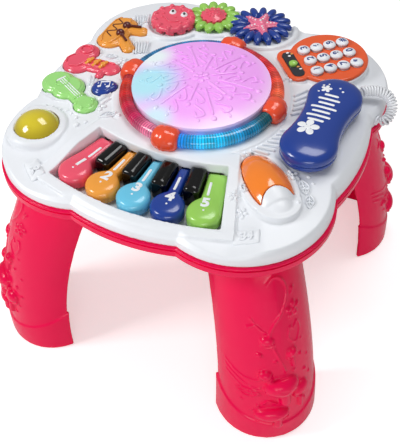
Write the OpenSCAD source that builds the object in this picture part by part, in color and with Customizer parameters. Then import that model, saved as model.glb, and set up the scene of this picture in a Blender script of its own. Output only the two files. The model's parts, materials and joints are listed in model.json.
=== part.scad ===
// Musical activity table: a four-legged toddler table with a lit drum, a fan of
// piano keys, three meshed gears, picture buttons and a toy telephone.
// The origin is on the floor under the middle of the table, +Z is up and the
// piano side faces -Y.

/* [Table top] */
// Height of the deck's side edges above the floor
deck_h = 280; // [240:1:330]
// How far the deck's middle rises above its side edges
crown_rise = 8; // [5:0.5:10]
// Radius of the deck's crown
crown_r = 1720; // [1500:10:2400]
// Height of the white shell's wall
shell_h = 23; // [20:1:30]
// Height of the pink tray under the shell
tray_h = 14; // [11:1:20]
// Half the distance between opposite side sections
half_span = 175; // [172:1:185]
// Half the length of one side section
side_half = 58; // [50:1:64]
// How far a side section bulges outwards
side_bulge = 8; // [5:0.5:12]
// Distance of a corner lobe's centre from the middle, along X and along Y
lobe_c = 88; // [86:1:94]
// Rounding of the shell's top edge
edge_r = 14; // [10:0.5:15]
// Wall thickness of the shell and the tray
wall = 2.5; // [2:0.1:3]
// How far the tray's rolled lip stands out past the shell
lip = 2.7; // [1.5:0.1:4]
// Height of the raised middle of the deck
plateau_h = 7; // [5:0.5:9]

/* [Legs] */
// Distance of a leg's inner edge from the middle, at the floor
leg_in = 198; // [190:1:204]
// Depth of a leg from its inner edge to its crest
leg_depth = 62; // [61:1:66]
// Half the width of a leg at the floor
leg_half = 57; // [50:1:59]
// Radius of the arc that a leg's inner edge follows
leg_arc = 430; // [410:5:480]
// Angle by which each side of a leg leans in
leg_lean = 2.4; // [0:0.1:3]
// Wall thickness of a leg
leg_wall = 3; // [2.4:0.1:4]
// How far the boot stands out from the leg
boot_step = 2; // [1:0.1:3]
// Height of the boot at the crest
boot_low = 26; // [15:1:40]
// Height of the boot at the inner edge
boot_high = 57; // [45:1:70]

/* [Drum] */
// How far the drum sits behind the middle
drum_y = 5; // [0:0.5:6]
// Radius of the drum pad
pad_r = 74; // [70:0.5:75]
// Height of the pad's crown above its shoulder
pad_crown = 8; // [4:0.5:12]
// Radius of the light ring, to the middle of its tube
ring_r = 81; // [80:0.5:83]
// Radius of the light ring's tube
tube_r = 7; // [6:0.1:7.5]
// Travel of the pad
pad_travel = 2; // [1:0.1:3]

/* [Piano] */
// Angle between neighbouring coloured keys
key_pitch = 7; // [6.8:0.05:7.2]
// Distance of the keys' round ends from the centre of the fan
key_reach = 297; // [294:0.5:300]
// Radius of a key's round end
bulb_r = 17.3; // [15:0.1:17.5]
// Radius of a key's hinge pin
key_pin_r = 2; // [1.5:0.1:2.5]

/* [Buttons] */
// Radius of the yellow dome
dome_r = 23.5; // [20:0.5:26]
// Height of the picture buttons above the deck
button_h = 7; // [6:0.5:10]
// Travel of the buttons
button_travel = 1.5; // [1:0.1:2]
// Gap round a button in its hole
button_gap = 0.6; // [0.4:0.05:0.8]

/* [Gears] */
// Tooth size of the gears: pitch diameter over tooth count
gear_module = 4.05; // [3.8:0.05:4.1]
// Teeth on the animal gear
animal_teeth = 11; // [11:1:11]
// Teeth on the flower gear
flower_teeth = 13; // [13:1:13]
// Teeth on the star gear
star_teeth = 16; // [16:1:16]
// Play between meshing teeth, along the pitch circle
gear_play = 1.2; // [1:0.1:2]
// Thickness of the gears
gear_t = 4; // [3.5:0.5:6]

/* [Telephone] */
// Radius of the keypad disc
pad_disc_r = 44.5; // [43:0.5:46]
// Height of the keypad above the deck
pad_disc_h = 9.5; // [9:0.5:12]
// Radius of a number button
number_r = 6.3; // [5:0.1:6.6]
// Radius of the handset's round ends
handset_r = 29; // [26:0.5:30]
// Distance between the centres of the handset's round ends
handset_span = 78; // [70:0.5:80]
// Half the handset's width at its waist
handset_waist = 23.5; // [20:0.5:25]
// Thickness of the handset
handset_t = 21; // [18:0.5:24]
// Outer diameter of the curly cord
cord_d = 12; // [8:0.5:13]

/* [Hidden] */
$fn = 72;
eps = 0.01;
fit = 0.05;
seat = 0.3;

rim_z = deck_h - shell_h;
tray_z = rim_z - tray_h;
floor_z = tray_z + wall;
edge_z = deck_h + 1;
crown_top = deck_h + crown_rise;
high_z = deck_h + plateau_h;
side_r = (side_half * side_half + side_bulge * side_bulge) / (2 * side_bulge);
side_cy = side_r - half_span - side_bulge;
lobe_r = norm([side_half - lobe_c, half_span - lobe_c]);

bezel_r = ring_r + tube_r + 9;
tube_z = high_z + tube_r - 1;
shoulder_z = tube_z + tube_r + 4;
skirt_r = ring_r - tube_r - 1.4;
pad_hole_r = skirt_r + 0.8;
pad_flange_r = pad_hole_r + 3.5;
pad_flange_top = crown_z(pad_flange_r + drum_y) - wall - seat;
clip_z = high_z + seat;

piano_x = -2;
fan_y = 150;
fan_back = 244;
window_half = 2 * key_pitch + asin((bulb_r + 1) / key_reach);
window_front = key_reach + bulb_r + 1.2;
frame_half = window_half + 2.4;
skirt_t = 2;
frame_slope = 4.1;
key_top = deck_h - 3.5;
key_bottom = key_top - 12.5;
bed_top = key_bottom - 4.5;
bed_t = 2;
pin_r0 = 230;
pin_z = key_bottom + 4;
tail_half = 5.5;
ear_t = 2;
key_angles = [for (i = [-2:2]) i * key_pitch];
// Length of a black key as a share of a coloured key's
black_share = 17 / 26;
key_colors = ["#f0526e", "#f6a83c", "#6fcdf0", "#2547b8", "#9ad94e"];

board_top = deck_h - 20.4;
board_t = 1.6;
main_board_r = 71;
left_board_at = [-163, -116];
left_board_size = [72, 226];
egg_board_at = [80, -98];
egg_board_size = [36, 46];
switch_h = 2.5;
stem_end = board_top + switch_h + button_travel + seat;
flange_t = 2;

dome_at = [-140.5, -104];
egg_at = [114, -87.5];
egg_turn = -44.5;
egg_half_l = 41;
egg_half_w = 20;
egg_end_r = 16;
egg_cut_at = [32, 0];
egg_cut_r = 19;
egg_stem = egg_at + [-8, 8];
guitar_at = [-142, -39];
guitar_stems = [guitar_at + [-8, 2], guitar_at + [33, -17]];
trumpet_at = [-156, 4];
trumpet_stem = trumpet_at + [2, 4];
snare_at = [-145, 60];
snare_stem = snare_at + [3, 14];
mode_at = [-104, -28];
mode_stem = mode_at + [2, 2];
button_tops = [for (p = [guitar_at, trumpet_at, snare_at, mode_at * 0.9]) crown_z(norm(p)) + button_h];
rim_zs = [for (t = button_tops) t - 4.5];
board_posts = [[-157, -72], [-112, -90], [-96, 24], [-127, 104], [84, -91], [113, -55]];
bosses = [[140, 140], [-140, 140], [-140, -140], [140, -140], [82, 62], [-82, 62],
    [-84, -62], [88, -35]];
boss_r = 4;
screw_r = 1.5;
head_h = 1.6;

star_dir = 5;
animal_dir = 212;
star_at = [8.5, 149];
animal_disc_r = 27;
tooth_tip = 1.15;
tooth_root = 1.35;
pitch_animal = gear_module * animal_teeth / 2;
pitch_flower = gear_module * flower_teeth / 2;
pitch_star = gear_module * star_teeth / 2;
flower_at = star_at - (pitch_flower + pitch_star) * [cos(star_dir), sin(star_dir)];
animal_at = flower_at + (pitch_flower + pitch_animal) * [cos(animal_dir), sin(animal_dir)];
gear_z = deck_h + 4.6;
gear_top = gear_z + gear_t;
post_r = 4;

keypad_at = [102.5, 120.5];
keypad_turn = 42;
keypad_floor = deck_h + 0.5;
platform_top = deck_h + 6;
number_dx = 15.6;
number_dy = 20;
pod_at = [-42, 0];
grid_at = [0.8, -2];
pod_half = 20;
pod_r = 12.5;
panel_t = 2.5;
panel_top = deck_h + pad_disc_h;
number_travel = 1.2;

handset_x = 135.5;
handset_y = 4.5;
handset_z = deck_h + 5;
handset_edge = 10;
handset_split = handset_z + 8;
waist_r = (pow(handset_span / 2, 2) + handset_waist * handset_waist - handset_r * handset_r)
    / (2 * (handset_r - handset_waist));

// Middle line of the curly cord, from the handset's socket to the grommet's face: x, y and
// the height over the deck's side edges
cord_route = [[152, 72, 9], [160, 78, 10], [168, 82, 10], [176, 84, 9], [183, 84, 6],
    [188, 81, 1], [190, 76, -4], [189.5, 71, -9], [186.5, 67, -13.5], [179.3, 67.6, -16]];
cord_points = [for (p = cord_route) p + [0, 0, deck_h]];
cord_out = [0.8, 0.6, 0];
socket_r = 3.4;
grommet_r = 4.4;
grommet_axis = [0.976, -0.218, 0];

module arc_sector(r0, r1, half, z0, z1) {
    rotate(-90 - half) rotate_extrude(angle = 2 * half, $fn = 144)
        translate([r0, z0]) square([r1 - r0, z1 - z0]);
}

module at_fan() {
    translate([piano_x, fan_y, 0]) children();
}

// Height of the crowned deck at a distance r from the middle
function crown_z(r) = crown_top - crown_r + sqrt(crown_r * crown_r - r * r);

module crown(g) {
    translate([0, 0, crown_top - crown_r]) sphere(crown_r + g, $fn = 400);
}

// A disc profile with a rounded upper edge, to be revolved; its core goes up to z2
module disc_profile(r, z0, z1, e, z2) {
    translate([0, z0]) square([r, z1 - z0 - e]);
    translate([0, z0]) square([r - e, z2 - z0]);
    intersection() {
        translate([r - e, z1 - e]) circle(e);
        translate([0, z0]) square([r + 1, z1 - z0]);
    }
}

module disc(r, z0, z1, e, z2 = 0) {
    rotate_extrude() disc_profile(r, z0, z1, e, max(z1, z2));
}

// The tray's wall, with its foot rounded and its rolled lip above a groove
module tray_profile(r, z0, z1) {
    groove_z = z1 - 4.6;
    translate([0, z0]) square([r - 4, z1 - z0]);
    translate([0, z0 + 4]) square([r, groove_z - z0 - 4]);
    intersection() {
        translate([r - 4, z0 + 4]) circle(4);
        translate([0, z0]) square([r, z1 - z0]);
    }
    translate([0, groove_z - eps]) square([r - 1.3, 1.2]);
    translate([0, groove_z + 1.1]) square([r - 1.7, z1 - groove_z - 1.1]);
    translate([r - 1.7, z1 - 1.75]) circle(1.7, $fn = 32);
}

// The clover-like plan of the table: four round lobes joined by four side arcs
module plan_shell(grow, z0, z1, e, z2 = 0) {
    intersection_for(k = [0:3]) rotate(90 * k) translate([0, side_cy, 0])
        disc(side_r + grow, z0, z1, e, z2, $fn = 180);
    for (k = [0:3]) rotate(90 * k) translate([lobe_c, -lobe_c, 0])
        disc(lobe_r + grow, z0, z1, e, z2, $fn = 120);
}

module tray_disc(r) {
    rotate_extrude($fn = 180) tray_profile(r, tray_z, rim_z);
}

module plan_tray(grow) {
    intersection_for(k = [0:3]) rotate(90 * k) translate([0, side_cy, 0]) tray_disc(side_r + grow);
    for (k = [0:3]) rotate(90 * k) translate([lobe_c, -lobe_c, 0]) tray_disc(lobe_r + grow);
}

// A plan oval: two end circles joined by two large arcs
module oval(half_l, half_w, end_r, grow = 0) {
    c = half_l - end_r;
    flank_r = (c * c + half_w * half_w - end_r * end_r) / (2 * (half_w - end_r));
    for (s = [-1, 1]) translate([s * c, 0]) circle(end_r + grow);
    intersection() {
        translate([0, half_w - flank_r]) circle(flank_r + grow, $fn = 160);
        translate([0, flank_r - half_w]) circle(flank_r + grow, $fn = 160);
        square([2 * c, 4 * half_w], center = true);
    }
}

module capsule(a, b, r) {
    d = b - a;
    translate(a) circle(r);
    translate(b) circle(r);
    translate(a) rotate(atan2(d[1], d[0])) translate([0, 0.2 - r]) square([norm(d), 2 * r - 0.4]);
}

// ---- plans of the picture buttons, each grown by g ----

module dome_plan(g) {
    translate(dome_at) circle(dome_r + g);
}

module egg_plan(g) {
    translate(egg_at) rotate(egg_turn) difference() {
        oval(egg_half_l, egg_half_w, egg_end_r, g);
        egg_end_plan(g);
    }
}

// The round bite that the egg's white end fills, made smaller by g
module egg_end_plan(g) {
    translate(egg_cut_at) {
        circle(egg_cut_r - g);
        translate([0, g - egg_cut_r]) square([40, 2 * (egg_cut_r - g)]);
    }
}

module guitar_plan(g) {
    translate(guitar_at) {
        circle(18.5 + g);
        translate([-15, 4]) circle(18.5 + g);
        capsule([0, 0], [33, -17.5], 9 + g);
        translate([33, -17.5]) circle(13.2 + g);
    }
}

module trumpet_plan(g) {
    translate(trumpet_at) {
        circle(17 + g);
        translate([-1, 23]) circle(14 + g);
        capsule([6, 3], [41, 5], 10.5 + g);
        capsule([34, 0], [34, -10], 4.5 + g);
    }
}

module drum_plan(g) {
    translate(snare_at) {
        capsule([0, 0], [1, 30], 16 + g);
        capsule([10, 8], [28, -8], 7.5 + g);
        capsule([8, 24], [27, 28], 8 + g);
    }
}

module mode_plan(g) {
    translate(mode_at) circle(12 + g);
    translate(mode_at + [5.5, 5.5]) circle(8.5 + g);
}

// Under side of a button's flange, below the deck at a distance far_r from the middle
function flange_top(far_r) = crown_z(far_r) - wall - seat;

// Plan of the whole table top
module table_plan(g) {
    intersection_for(k = [0:3]) rotate(90 * k) translate([0, side_cy]) circle(side_r + g, $fn = 180);
    for (k = [0:3]) rotate(90 * k) translate([lobe_c, -lobe_c]) circle(lobe_r + g, $fn = 120);
}

// A pressable button: a crowned top, a flange under the deck and stems
module button_body(stems, top, flange) {
    translate([0, 0, flange - 0.1]) linear_extrude(top - 2.6 - flange) children(0);
    translate([0, 0, top - 3]) linear_extrude(1.7) children(1);
    translate([0, 0, top - 1.5]) linear_extrude(1.5) children(2);
    translate([0, 0, flange - flange_t]) linear_extrude(flange_t) intersection() {
        children(3);
        table_plan(-edge_r / 2);
    }
    for (p = stems) translate([p[0], p[1], stem_end]) cylinder(r = 3, h = flange - stem_end);
}

// ---- the white shell ----

module button_rims() {
    for (k = [0:3]) translate([0, 0, rim_zs[k] - 8]) linear_extrude(8) {
        if (k == 0) guitar_plan(2.6);
        if (k == 1) trumpet_plan(2.6);
        if (k == 2) drum_plan(2.6);
        if (k == 3) mode_plan(2.2);
    }
}

module shell_top_forms() {
    translate([0, drum_y, 0]) disc(bezel_r, deck_h - 2, high_z, 2, $fn = 144);
    difference() {
        intersection() {
            at_fan() arc_sector(fan_back - 18, window_front + 12, frame_half, deck_h - 8, high_z);
            plan_shell(-0.6, rim_z, edge_z + 1, edge_r, high_z + 8);
        }
        frame_slope(0);
    }
    intersection() {
        union() {
            button_rims();
            translate([dome_at[0], dome_at[1], 0]) disc(dome_r + 9.5, deck_h - 8, deck_h + 5, 4);
            translate([egg_at[0] - 1, egg_at[1] + 1, deck_h - 4]) rotate(egg_turn)
                linear_extrude(8.5) oval(egg_half_l + 8, egg_half_w + 7.5, egg_end_r + 7);
        }
        plan_shell(-1, rim_z, deck_h + 3, edge_r, high_z + 8);
    }
    // round white end of the egg
    intersection() {
        egg_form();
        translate([egg_at[0], egg_at[1], deck_h - 1]) rotate(egg_turn) linear_extrude(40) intersection() {
            egg_end_plan(0.9);
            oval(egg_half_l, egg_half_w, egg_end_r);
        }
    }
    for (p = [flower_at, animal_at, star_at]) translate([p[0], p[1], deck_h - 4])
        cylinder(r = post_r + 5, h = gear_z - seat - deck_h + 4);
    intersection() {
        at_keypad() translate([0, 0, deck_h - 10]) linear_extrude(platform_top - deck_h + 10) keypad_plan(1.5);
        plan_shell(-0.5, rim_z, platform_top, 8);
    }
    for (s = [-1, 1]) translate([handset_x, handset_y + s * handset_span / 2, deck_h - 6])
        cylinder(r = 15, h = handset_z - seat - deck_h + 6);
}

module shell_cavity() {
    intersection() {
        plan_shell(-wall, rim_z - 1, edge_z - wall, edge_r - wall, high_z + 8);
        crown(-wall);
    }
}

// The piano frame's top slopes down towards the front edge
module frame_slope(drop) {
    translate([0, -84, high_z - drop]) rotate([frame_slope, 0, 0])
        translate([-200, -200, 0]) cube([400, 200, 60]);
}

module piano_skirt() {
    difference() {
        at_fan() arc_sector(fan_back - skirt_t, window_front + skirt_t, window_half + 0.4,
            bed_top, high_z - wall);
        frame_slope(wall);
        // the key tails pass under the back of the window
        at_fan() arc_sector(fan_back - skirt_t - 1, fan_back + 1, window_half - 1.2, bed_top - 1, key_bottom + 11);
    }
}

module shell_holes() {
    // drum opening and the trough that the light ring lies in
    translate([0, drum_y, deck_h - 25]) cylinder(r = pad_hole_r, h = 60, $fn = 144);
    translate([0, drum_y, 0]) rotate_extrude($fn = 144) translate([ring_r, tube_z]) circle(tube_r + seat);
    at_fan() arc_sector(fan_back, window_front, window_half, bed_top - 1, high_z + 20);
    translate([0, 0, deck_h - 12]) linear_extrude(40) {
        dome_plan(button_gap);
        egg_plan(button_gap);
        guitar_plan(button_gap);
        trumpet_plan(button_gap);
        drum_plan(button_gap);
        mode_plan(button_gap);
    }
    at_keypad() translate([0, 0, keypad_floor]) linear_extrude(40) keypad_plan(-panel_t);
    // hole for the cord's grommet in the side wall
    at_grommet() cylinder(r = grommet_r, h = 16, center = true);
}

// Height of a post that ends halfway into the deck's wall
function into_deck(p) = crown_z(norm(p)) - wall / 2;

module shell_inside() {
    difference() {
        for (p = bosses) translate([p[0], p[1], floor_z + seat])
            cylinder(r = boss_r, h = into_deck(p) - floor_z - seat);
        for (p = bosses) translate([p[0], p[1], floor_z]) cylinder(r = screw_r - 0.1, h = 14);
    }
    for (p = board_posts) translate([p[0], p[1], board_top]) cylinder(r = 2.6, h = into_deck(p) - board_top);
    at_keypad() translate([0, 0, keypad_floor - wall]) linear_extrude(2 * wall) keypad_plan(-1);
    for (p = [flower_at, animal_at, star_at]) translate([p[0], p[1], deck_h - 6])
        cylinder(r = post_r, h = gear_top - 1.8 - deck_h + 6);
}

module top_shell() {
    color("#f4f5f7") difference() {
        union() {
            difference() {
                union() {
                    intersection() {
                        plan_shell(0, rim_z, edge_z, edge_r, high_z + 8);
                        crown(0);
                    }
                    shell_top_forms();
                }
                shell_cavity();
            }
            piano_skirt();
            shell_inside();
        }
        shell_holes();
    }
}

// ---- the pink tray ----

module leg_frame(k) {
    rotate(-45 + 90 * k) children();
}

leg_cu = leg_in - leg_arc;
plug_u = leg_cu + sqrt(leg_arc * leg_arc - tray_z * tray_z) + leg_depth / 2 + 3;
plug_w = 50;
plug_d = 34;
plug_h = tray_h - 3.2;
plug_top = tray_z + plug_h - seat;

// Three cells side by side, with the gap between two, the play beside them, the room for
// the contacts at their ends and the room under them
cell_r = 7.1;
cell_l = 50;
cell_gap = 2;
cell_play = 2.1;
contact_l = 3.4;
cell_under = 1.9;
box_wall = 1.6;
box_at = [0, 118];
box_l = cell_l + 2 * contact_l + 2 * box_wall;
box_w = 6 * cell_r + 2 * cell_gap + 2 * cell_play + 2 * box_wall;
box_h = 2 * cell_r + box_wall + seat + cell_under;
speaker_r = 24;
switch_at = [0, -110];
switch_slot = [20, 7];

module base_tray() {
    color("#e81e5a") difference() {
        union() {
            difference() {
                plan_tray(lip);
                plan_shell(lip - wall - 2, floor_z, rim_z + 1, 0.5);
            }
            for (k = [0:3]) leg_frame(k) translate([plug_u, 0, floor_z - eps + (plug_h - wall + 2.4) / 2])
                cube([plug_d + 5, plug_w + 5, plug_h - wall + 2.4], center = true);
            for (k = [0:3]) rotate(45 + 90 * k) translate([60, 0, floor_z - eps])
                translate([drum_y * sin(45 + 90 * k), drum_y * cos(45 + 90 * k), 0])
                cylinder(r = 3.5, h = board_top - board_t - floor_z);
            // a seat for the battery box
            translate([box_at[0], box_at[1], floor_z - eps]) difference() {
                translate([-box_l / 2 - 4, -box_w / 2 - 4, 0]) cube([box_l + 8, box_w + 8, 3]);
                translate([-box_l / 2 - 2, -box_w / 2 - 2, -1]) cube([box_l + 4, box_w + 4, 6]);
            }
        }
        for (k = [0:3]) leg_frame(k) {
            translate([plug_u, 0, tray_z + plug_h / 2 - 1])
                cube([plug_d + 2 * seat, plug_w + 2 * seat, plug_h + 2 + seat], center = true);
            translate([plug_u, 0, tray_z]) cylinder(r = screw_r + 0.2, h = 30);
        }
        for (p = bosses) translate([p[0], p[1], tray_z - 1]) {
            cylinder(r = screw_r + 0.3, h = 10);
            cylinder(r = 3.4, h = 1 + head_h);
        }
        translate([box_at[0] - box_l / 2, box_at[1] - box_w / 2, tray_z - 1]) cube([box_l, box_w, 10]);
        // grille under the speaker
        for (r = [6, 12, 18]) for (a = [0:60 * 6 / r:359]) translate([r * cos(a), drum_y + r * sin(a), tray_z - 1])
            cylinder(r = 1.6, h = 10, $fn = 16);
        translate([switch_at[0] - switch_slot[0] / 2, switch_at[1] - switch_slot[1] / 2, tray_z - 1])
            cube([switch_slot[0], switch_slot[1], 10]);
    }
}

// ---- legs ----

// Section across a leg: a half-round gutter, open towards the middle
module gutter_profile(g, edge) {
    c = leg_arc + leg_depth - leg_half;
    r = leg_half + g;
    intersection() {
        translate([c, 0]) circle(r, $fn = 96);
        translate([c - eps, -r]) square([r + 1, 2 * r]);
    }
    translate([edge, -r]) square([c - edge, 2 * r]);
}

// Half of the bent gutter, leaning in towards the leg's middle plane
module gutter_side(s, g, edge, a) {
    intersection() {
        rotate([s * leg_lean, 0, 0]) translate([leg_cu, 0, 0]) rotate([90, 0, 0]) rotate(-a)
            rotate_extrude(angle = 36 + 2 * a, $fn = 360) gutter_profile(g, edge);
        translate([0, s > 0 ? 0 : -200, -50]) cube([400, 200, 500]);
    }
}

module gutter_solid(g) {
    for (s = [-1, 1]) gutter_side(s, g, leg_arc - g, 4);
}

module boot_zone() {
    slope = atan2(boot_high - boot_low, leg_depth + 4);
    translate([leg_in, 0, boot_high]) rotate([0, slope, 0])
        translate([-300, -200, -300]) cube([600, 400, 300]);
}

module leg_shell() {
    difference() {
        union() {
            gutter_solid(0);
            intersection() {
                gutter_solid(boot_step);
                boot_zone();
            }
        }
        for (s = [-1, 1]) gutter_side(s, -leg_wall, leg_arc - 20, 5);
    }
}

// Mushroom caps and pebbles moulded on the crest: turn up, turn round, radius, height
relief = [[7.2, 4, 15, 9], [9.6, -17, 9, 6], [4.6, 27, 9, 5.5], [12.8, 15, 6, 4.4], [18, 10, 5, 3.4],
    [21, -8, 4, 2.6], [3.4, -32, 7, 5]];

module leg_relief() {
    for (c = relief) translate([leg_cu, 0, 0]) rotate([0, -c[0], 0])
        translate([leg_arc + leg_depth - leg_half, 0, 0]) rotate(c[1])
        translate([leg_half - c[2] + c[3] * 0.6, 0, 0]) sphere(c[2], $fn = 48);
}

module leg() {
    color("#e81e5a") difference() {
        union() {
            intersection() {
                leg_shell();
                translate([0, -200, 0]) cube([500, 400, tray_z]);
            }
            intersection() {
                gutter_solid(-1);
                translate([0, -100, tray_z - 3]) cube([400, 200, 3]);
            }
            difference() {
                leg_relief();
                gutter_solid(-1);
            }
            translate([plug_u - plug_d / 2, -plug_w / 2, tray_z - 1]) cube([plug_d, plug_w, plug_top - tray_z + 1]);
        }
        translate([plug_u - plug_d / 2 + 2.5, -plug_w / 2 + 2.5, tray_z - 10])
            cube([plug_d - 5, plug_w - 5, plug_top - wall - tray_z + 10]);
        translate([plug_u, 0, tray_z]) cylinder(r = screw_r + 0.2, h = 30);
        translate([0, -200, -100]) cube([500, 400, 100]);
    }
}

module leg_front_left() { rotate(-135) leg(); }
module leg_front_right() { rotate(-45) leg(); }
module leg_back_right() { rotate(45) leg(); }
module leg_back_left() { rotate(135) leg(); }

// ---- drum ----

module light_ring() {
    color("#58c8e8", 0.6) translate([0, drum_y, 0]) rotate_extrude($fn = 144) translate([ring_r, tube_z])
        difference() {
            circle(tube_r);
            circle(tube_r - 1.5);
        }
}

module led_strip() {
    led = 3;
    strip_z = tube_z - tube_r + 2.6;
    color("#e9e3c8") translate([0, drum_y, 0]) {
        rotate_extrude($fn = 144) translate([ring_r - led, strip_z]) square([2 * led, 0.8]);
        for (a = [15:30:345]) rotate(a) translate([ring_r - led / 2, -led / 2, strip_z + 0.8 - eps])
            cube([led, led, 1.6]);
    }
}

module clip_profile(r) {
    difference() {
        union() {
            translate([ring_r, tube_z]) circle(r);
            translate([ring_r, tube_z - r]) square([bezel_r - ring_r - 4, r + 2]);
            translate([bezel_r - 6, tube_z + 2 - 4]) circle(4);
        }
        translate([ring_r, tube_z]) circle(tube_r + seat);
        translate([0, 0]) square([200, clip_z]);
        square([pad_r + 0.6, 500]);
        square([ring_r, tube_z]);
    }
}

module ring_clips() {
    color("#ff5a2a") translate([0, drum_y, 0]) for (k = [0:3])
        rotate(90 * k - 7) rotate_extrude(angle = 14) clip_profile(tube_r + 2.4);
}

module drum_pad() {
    crown_r = (pad_r * pad_r + pad_crown * pad_crown) / (2 * pad_crown);
    t = 2.2;
    flange_z = pad_flange_top;
    color("#f0b8f8") translate([0, drum_y, 0]) {
        rotate_extrude($fn = 144) difference() {
            union() {
                intersection() {
                    translate([0, shoulder_z + pad_crown - crown_r]) circle(crown_r, $fn = 360);
                    translate([0, shoulder_z - 3]) square([pad_r, 60]);
                }
                translate([0, shoulder_z - 3]) square([pad_r, 3]);
                translate([0, flange_z - 2.4]) square([skirt_r, shoulder_z - 3 - flange_z + 2.5]);
                translate([0, flange_z - 2.4]) square([pad_flange_r, 2.4]);
            }
            intersection() {
                translate([0, shoulder_z + pad_crown - crown_r]) circle(crown_r - t, $fn = 360);
                translate([0, 0]) square([skirt_r - t, 600]);
            }
        }
        for (a = [45:90:315]) rotate(a) translate([skirt_r - 5.5, 0, spring_top]) cylinder(r = 5, h = shoulder_z - spring_top);
    }
}

spring_top = board_top + 12;
spring_turns = 4;
spring_steps = 8;

function spring_ring(a, z, r, w) = [for (b = [0:72:359]) let (q = r + w * cos(b))
    [q * cos(a), q * sin(a), z + w * sin(b)]];

module coil_spring(r, w, h, turns) {
    n = turns * spring_steps;
    pts = [for (i = [0:n]) each spring_ring(360 * i / spring_steps, w + (h - 2 * w) * i / n, r, w)];
    sides = [for (i = [0:n - 1]) for (j = [0:4]) let (a = i * 5 + j, b = i * 5 + (j + 1) % 5)
        [a, a + 5, b + 5, b]];
    polyhedron(points = pts, faces = concat([[for (j = [0:4]) j]], sides, [[for (j = [4:-1:0]) n * 5 + j]]));
}

module drum_springs() {
    color("silver") translate([0, drum_y, 0]) for (a = [45:90:315]) rotate(a)
        translate([skirt_r - 5.5, 0, board_top]) coil_spring(4, 0.5, spring_top - board_top, spring_turns);
}

// ---- piano ----

module key_bed() {
    color("#e8e8ea") {
        difference() {
            at_fan() arc_sector(pin_r0 - 6, window_front + skirt_t, window_half + 0.4, bed_top - bed_t, bed_top);
            translate([0, drum_y, bed_top - 10]) cylinder(r = pad_flange_r + 1.5, h = 20);
        }
        at_fan() for (a = key_angles) rotate(-90 + a) for (s = [-1, 1]) difference() {
            translate([pin_r0 - 4, s * (tail_half + 0.4 + ear_t / 2) - ear_t / 2, bed_top - eps])
                cube([8, ear_t, pin_z - bed_top + 4]);
            translate([pin_r0, 0, pin_z]) rotate([90, 0, 0])
                cylinder(r = key_pin_r + fit, h = 40, center = true);
        }
    }
}

// Plan of a key with its round end, drawn along +X from the centre of the fan
module key_plan(side) {
    edge = asin(bulb_r / key_reach);
    translate([key_reach, 0]) circle(bulb_r);
    polygon([[fan_back + 1, -5.2], [key_reach - 20, -6.8], [key_reach - 10, -14], [key_reach, -bulb_r + 0.3],
        [key_reach, bulb_r - 0.3], [key_reach - 10, 14], [key_reach - 20, 6.8], [fan_back + 1, 5.2]]);
    // the outer keys are straight along the window's side
    if (side != 0) polygon([[fan_back + 1, 0], [key_reach, 0], [key_reach * cos(edge), side * bulb_r],
        [(fan_back + 1), side * (fan_back + 1) * tan(edge)]]);
}

module piano_key(i) {
    side = i == 1 ? -1 : i == 5 ? 1 : 0;
    color(key_colors[i - 1]) at_fan() rotate(-90 + key_angles[i - 1]) {
        translate([0, 0, key_bottom]) linear_extrude(key_top - key_bottom - 1) key_plan(side);
        translate([key_reach, 0, 0]) disc(bulb_r, key_bottom, key_top + 1.5, 5);
        translate([0, 0, key_bottom]) linear_extrude(key_top - key_bottom)
            translate([fan_back + 1, -4.4]) square([40, 8.8]);
        translate([pin_r0 - 3, -tail_half, key_bottom]) cube([fan_back - pin_r0 + 5, 2 * tail_half, 8]);
        translate([pin_r0, 0, pin_z]) rotate([90, 0, 0])
            cylinder(r = key_pin_r, h = 2 * (tail_half + 0.4 + ear_t), center = true);
    }
}

module black_keys() {
    half = 8.5;
    corner = 6;
    top = key_top + 7.5;
    front = fan_back + 1 + black_share * (key_reach - fan_back - 1);
    color("#101014") at_fan() for (i = [-1.5:1:1.5]) rotate(-90 + i * key_pitch)
        translate([0, 0, bed_top]) linear_extrude(top - bed_top) {
            translate([fan_back + 1, -half]) square([front - corner - fan_back - 1, 2 * half]);
            translate([front - corner - 1, corner - half]) square([corner + 1, 2 * (half - corner)]);
            for (s = [-1, 1]) translate([front - corner, s * (half - corner)]) circle(corner);
        }
}

// ---- buttons ----

module dome_button() {
    cap_h = 13;
    cap_r = (dome_r * dome_r + cap_h * cap_h) / (2 * cap_h);
    rim = deck_h + 4;
    flange = flange_top(norm(dome_at) + dome_r + 2);
    color("#d4c010", 0.8) translate([dome_at[0], dome_at[1], 0]) {
        intersection() {
            translate([0, 0, rim + cap_h - cap_r]) sphere(cap_r, $fn = 120);
            translate([0, 0, rim - 0.2]) cylinder(r = dome_r, h = 40);
        }
        translate([0, 0, flange - 0.1]) cylinder(r = dome_r, h = rim - flange + 0.1);
        translate([0, 0, flange - flange_t]) cylinder(r = dome_r + 2, h = flange_t);
        translate([0, 0, stem_end]) cylinder(r = 3, h = flange - stem_end);
    }
}

// The egg's rounded body: an oval turned about its long axis, half sunk in the deck
module egg_form() {
    belly = 27;
    translate([egg_at[0], egg_at[1], deck_h - 11]) rotate(egg_turn) rotate([0, 90, 0])
        rotate_extrude($fn = 120) intersection() {
            rotate(90) oval(egg_half_l + 8, belly, 20);
            translate([0, -100]) square([100, 200]);
        }
}

module egg_button() {
    rim = deck_h + 3;
    flange = flange_top(norm(egg_at) + egg_half_l - 8);
    color("#f47a20", 0.85) {
        translate([0, 0, flange - 0.1]) linear_extrude(rim - flange + 0.1) egg_plan(0);
        intersection() {
            egg_form();
            translate([0, 0, rim - 2]) linear_extrude(40) egg_plan(0);
        }
        translate([0, 0, flange - flange_t]) linear_extrude(flange_t) egg_plan(1.4);
        translate([egg_stem[0], egg_stem[1], stem_end]) cylinder(r = 3, h = flange - stem_end);
    }
}

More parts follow.
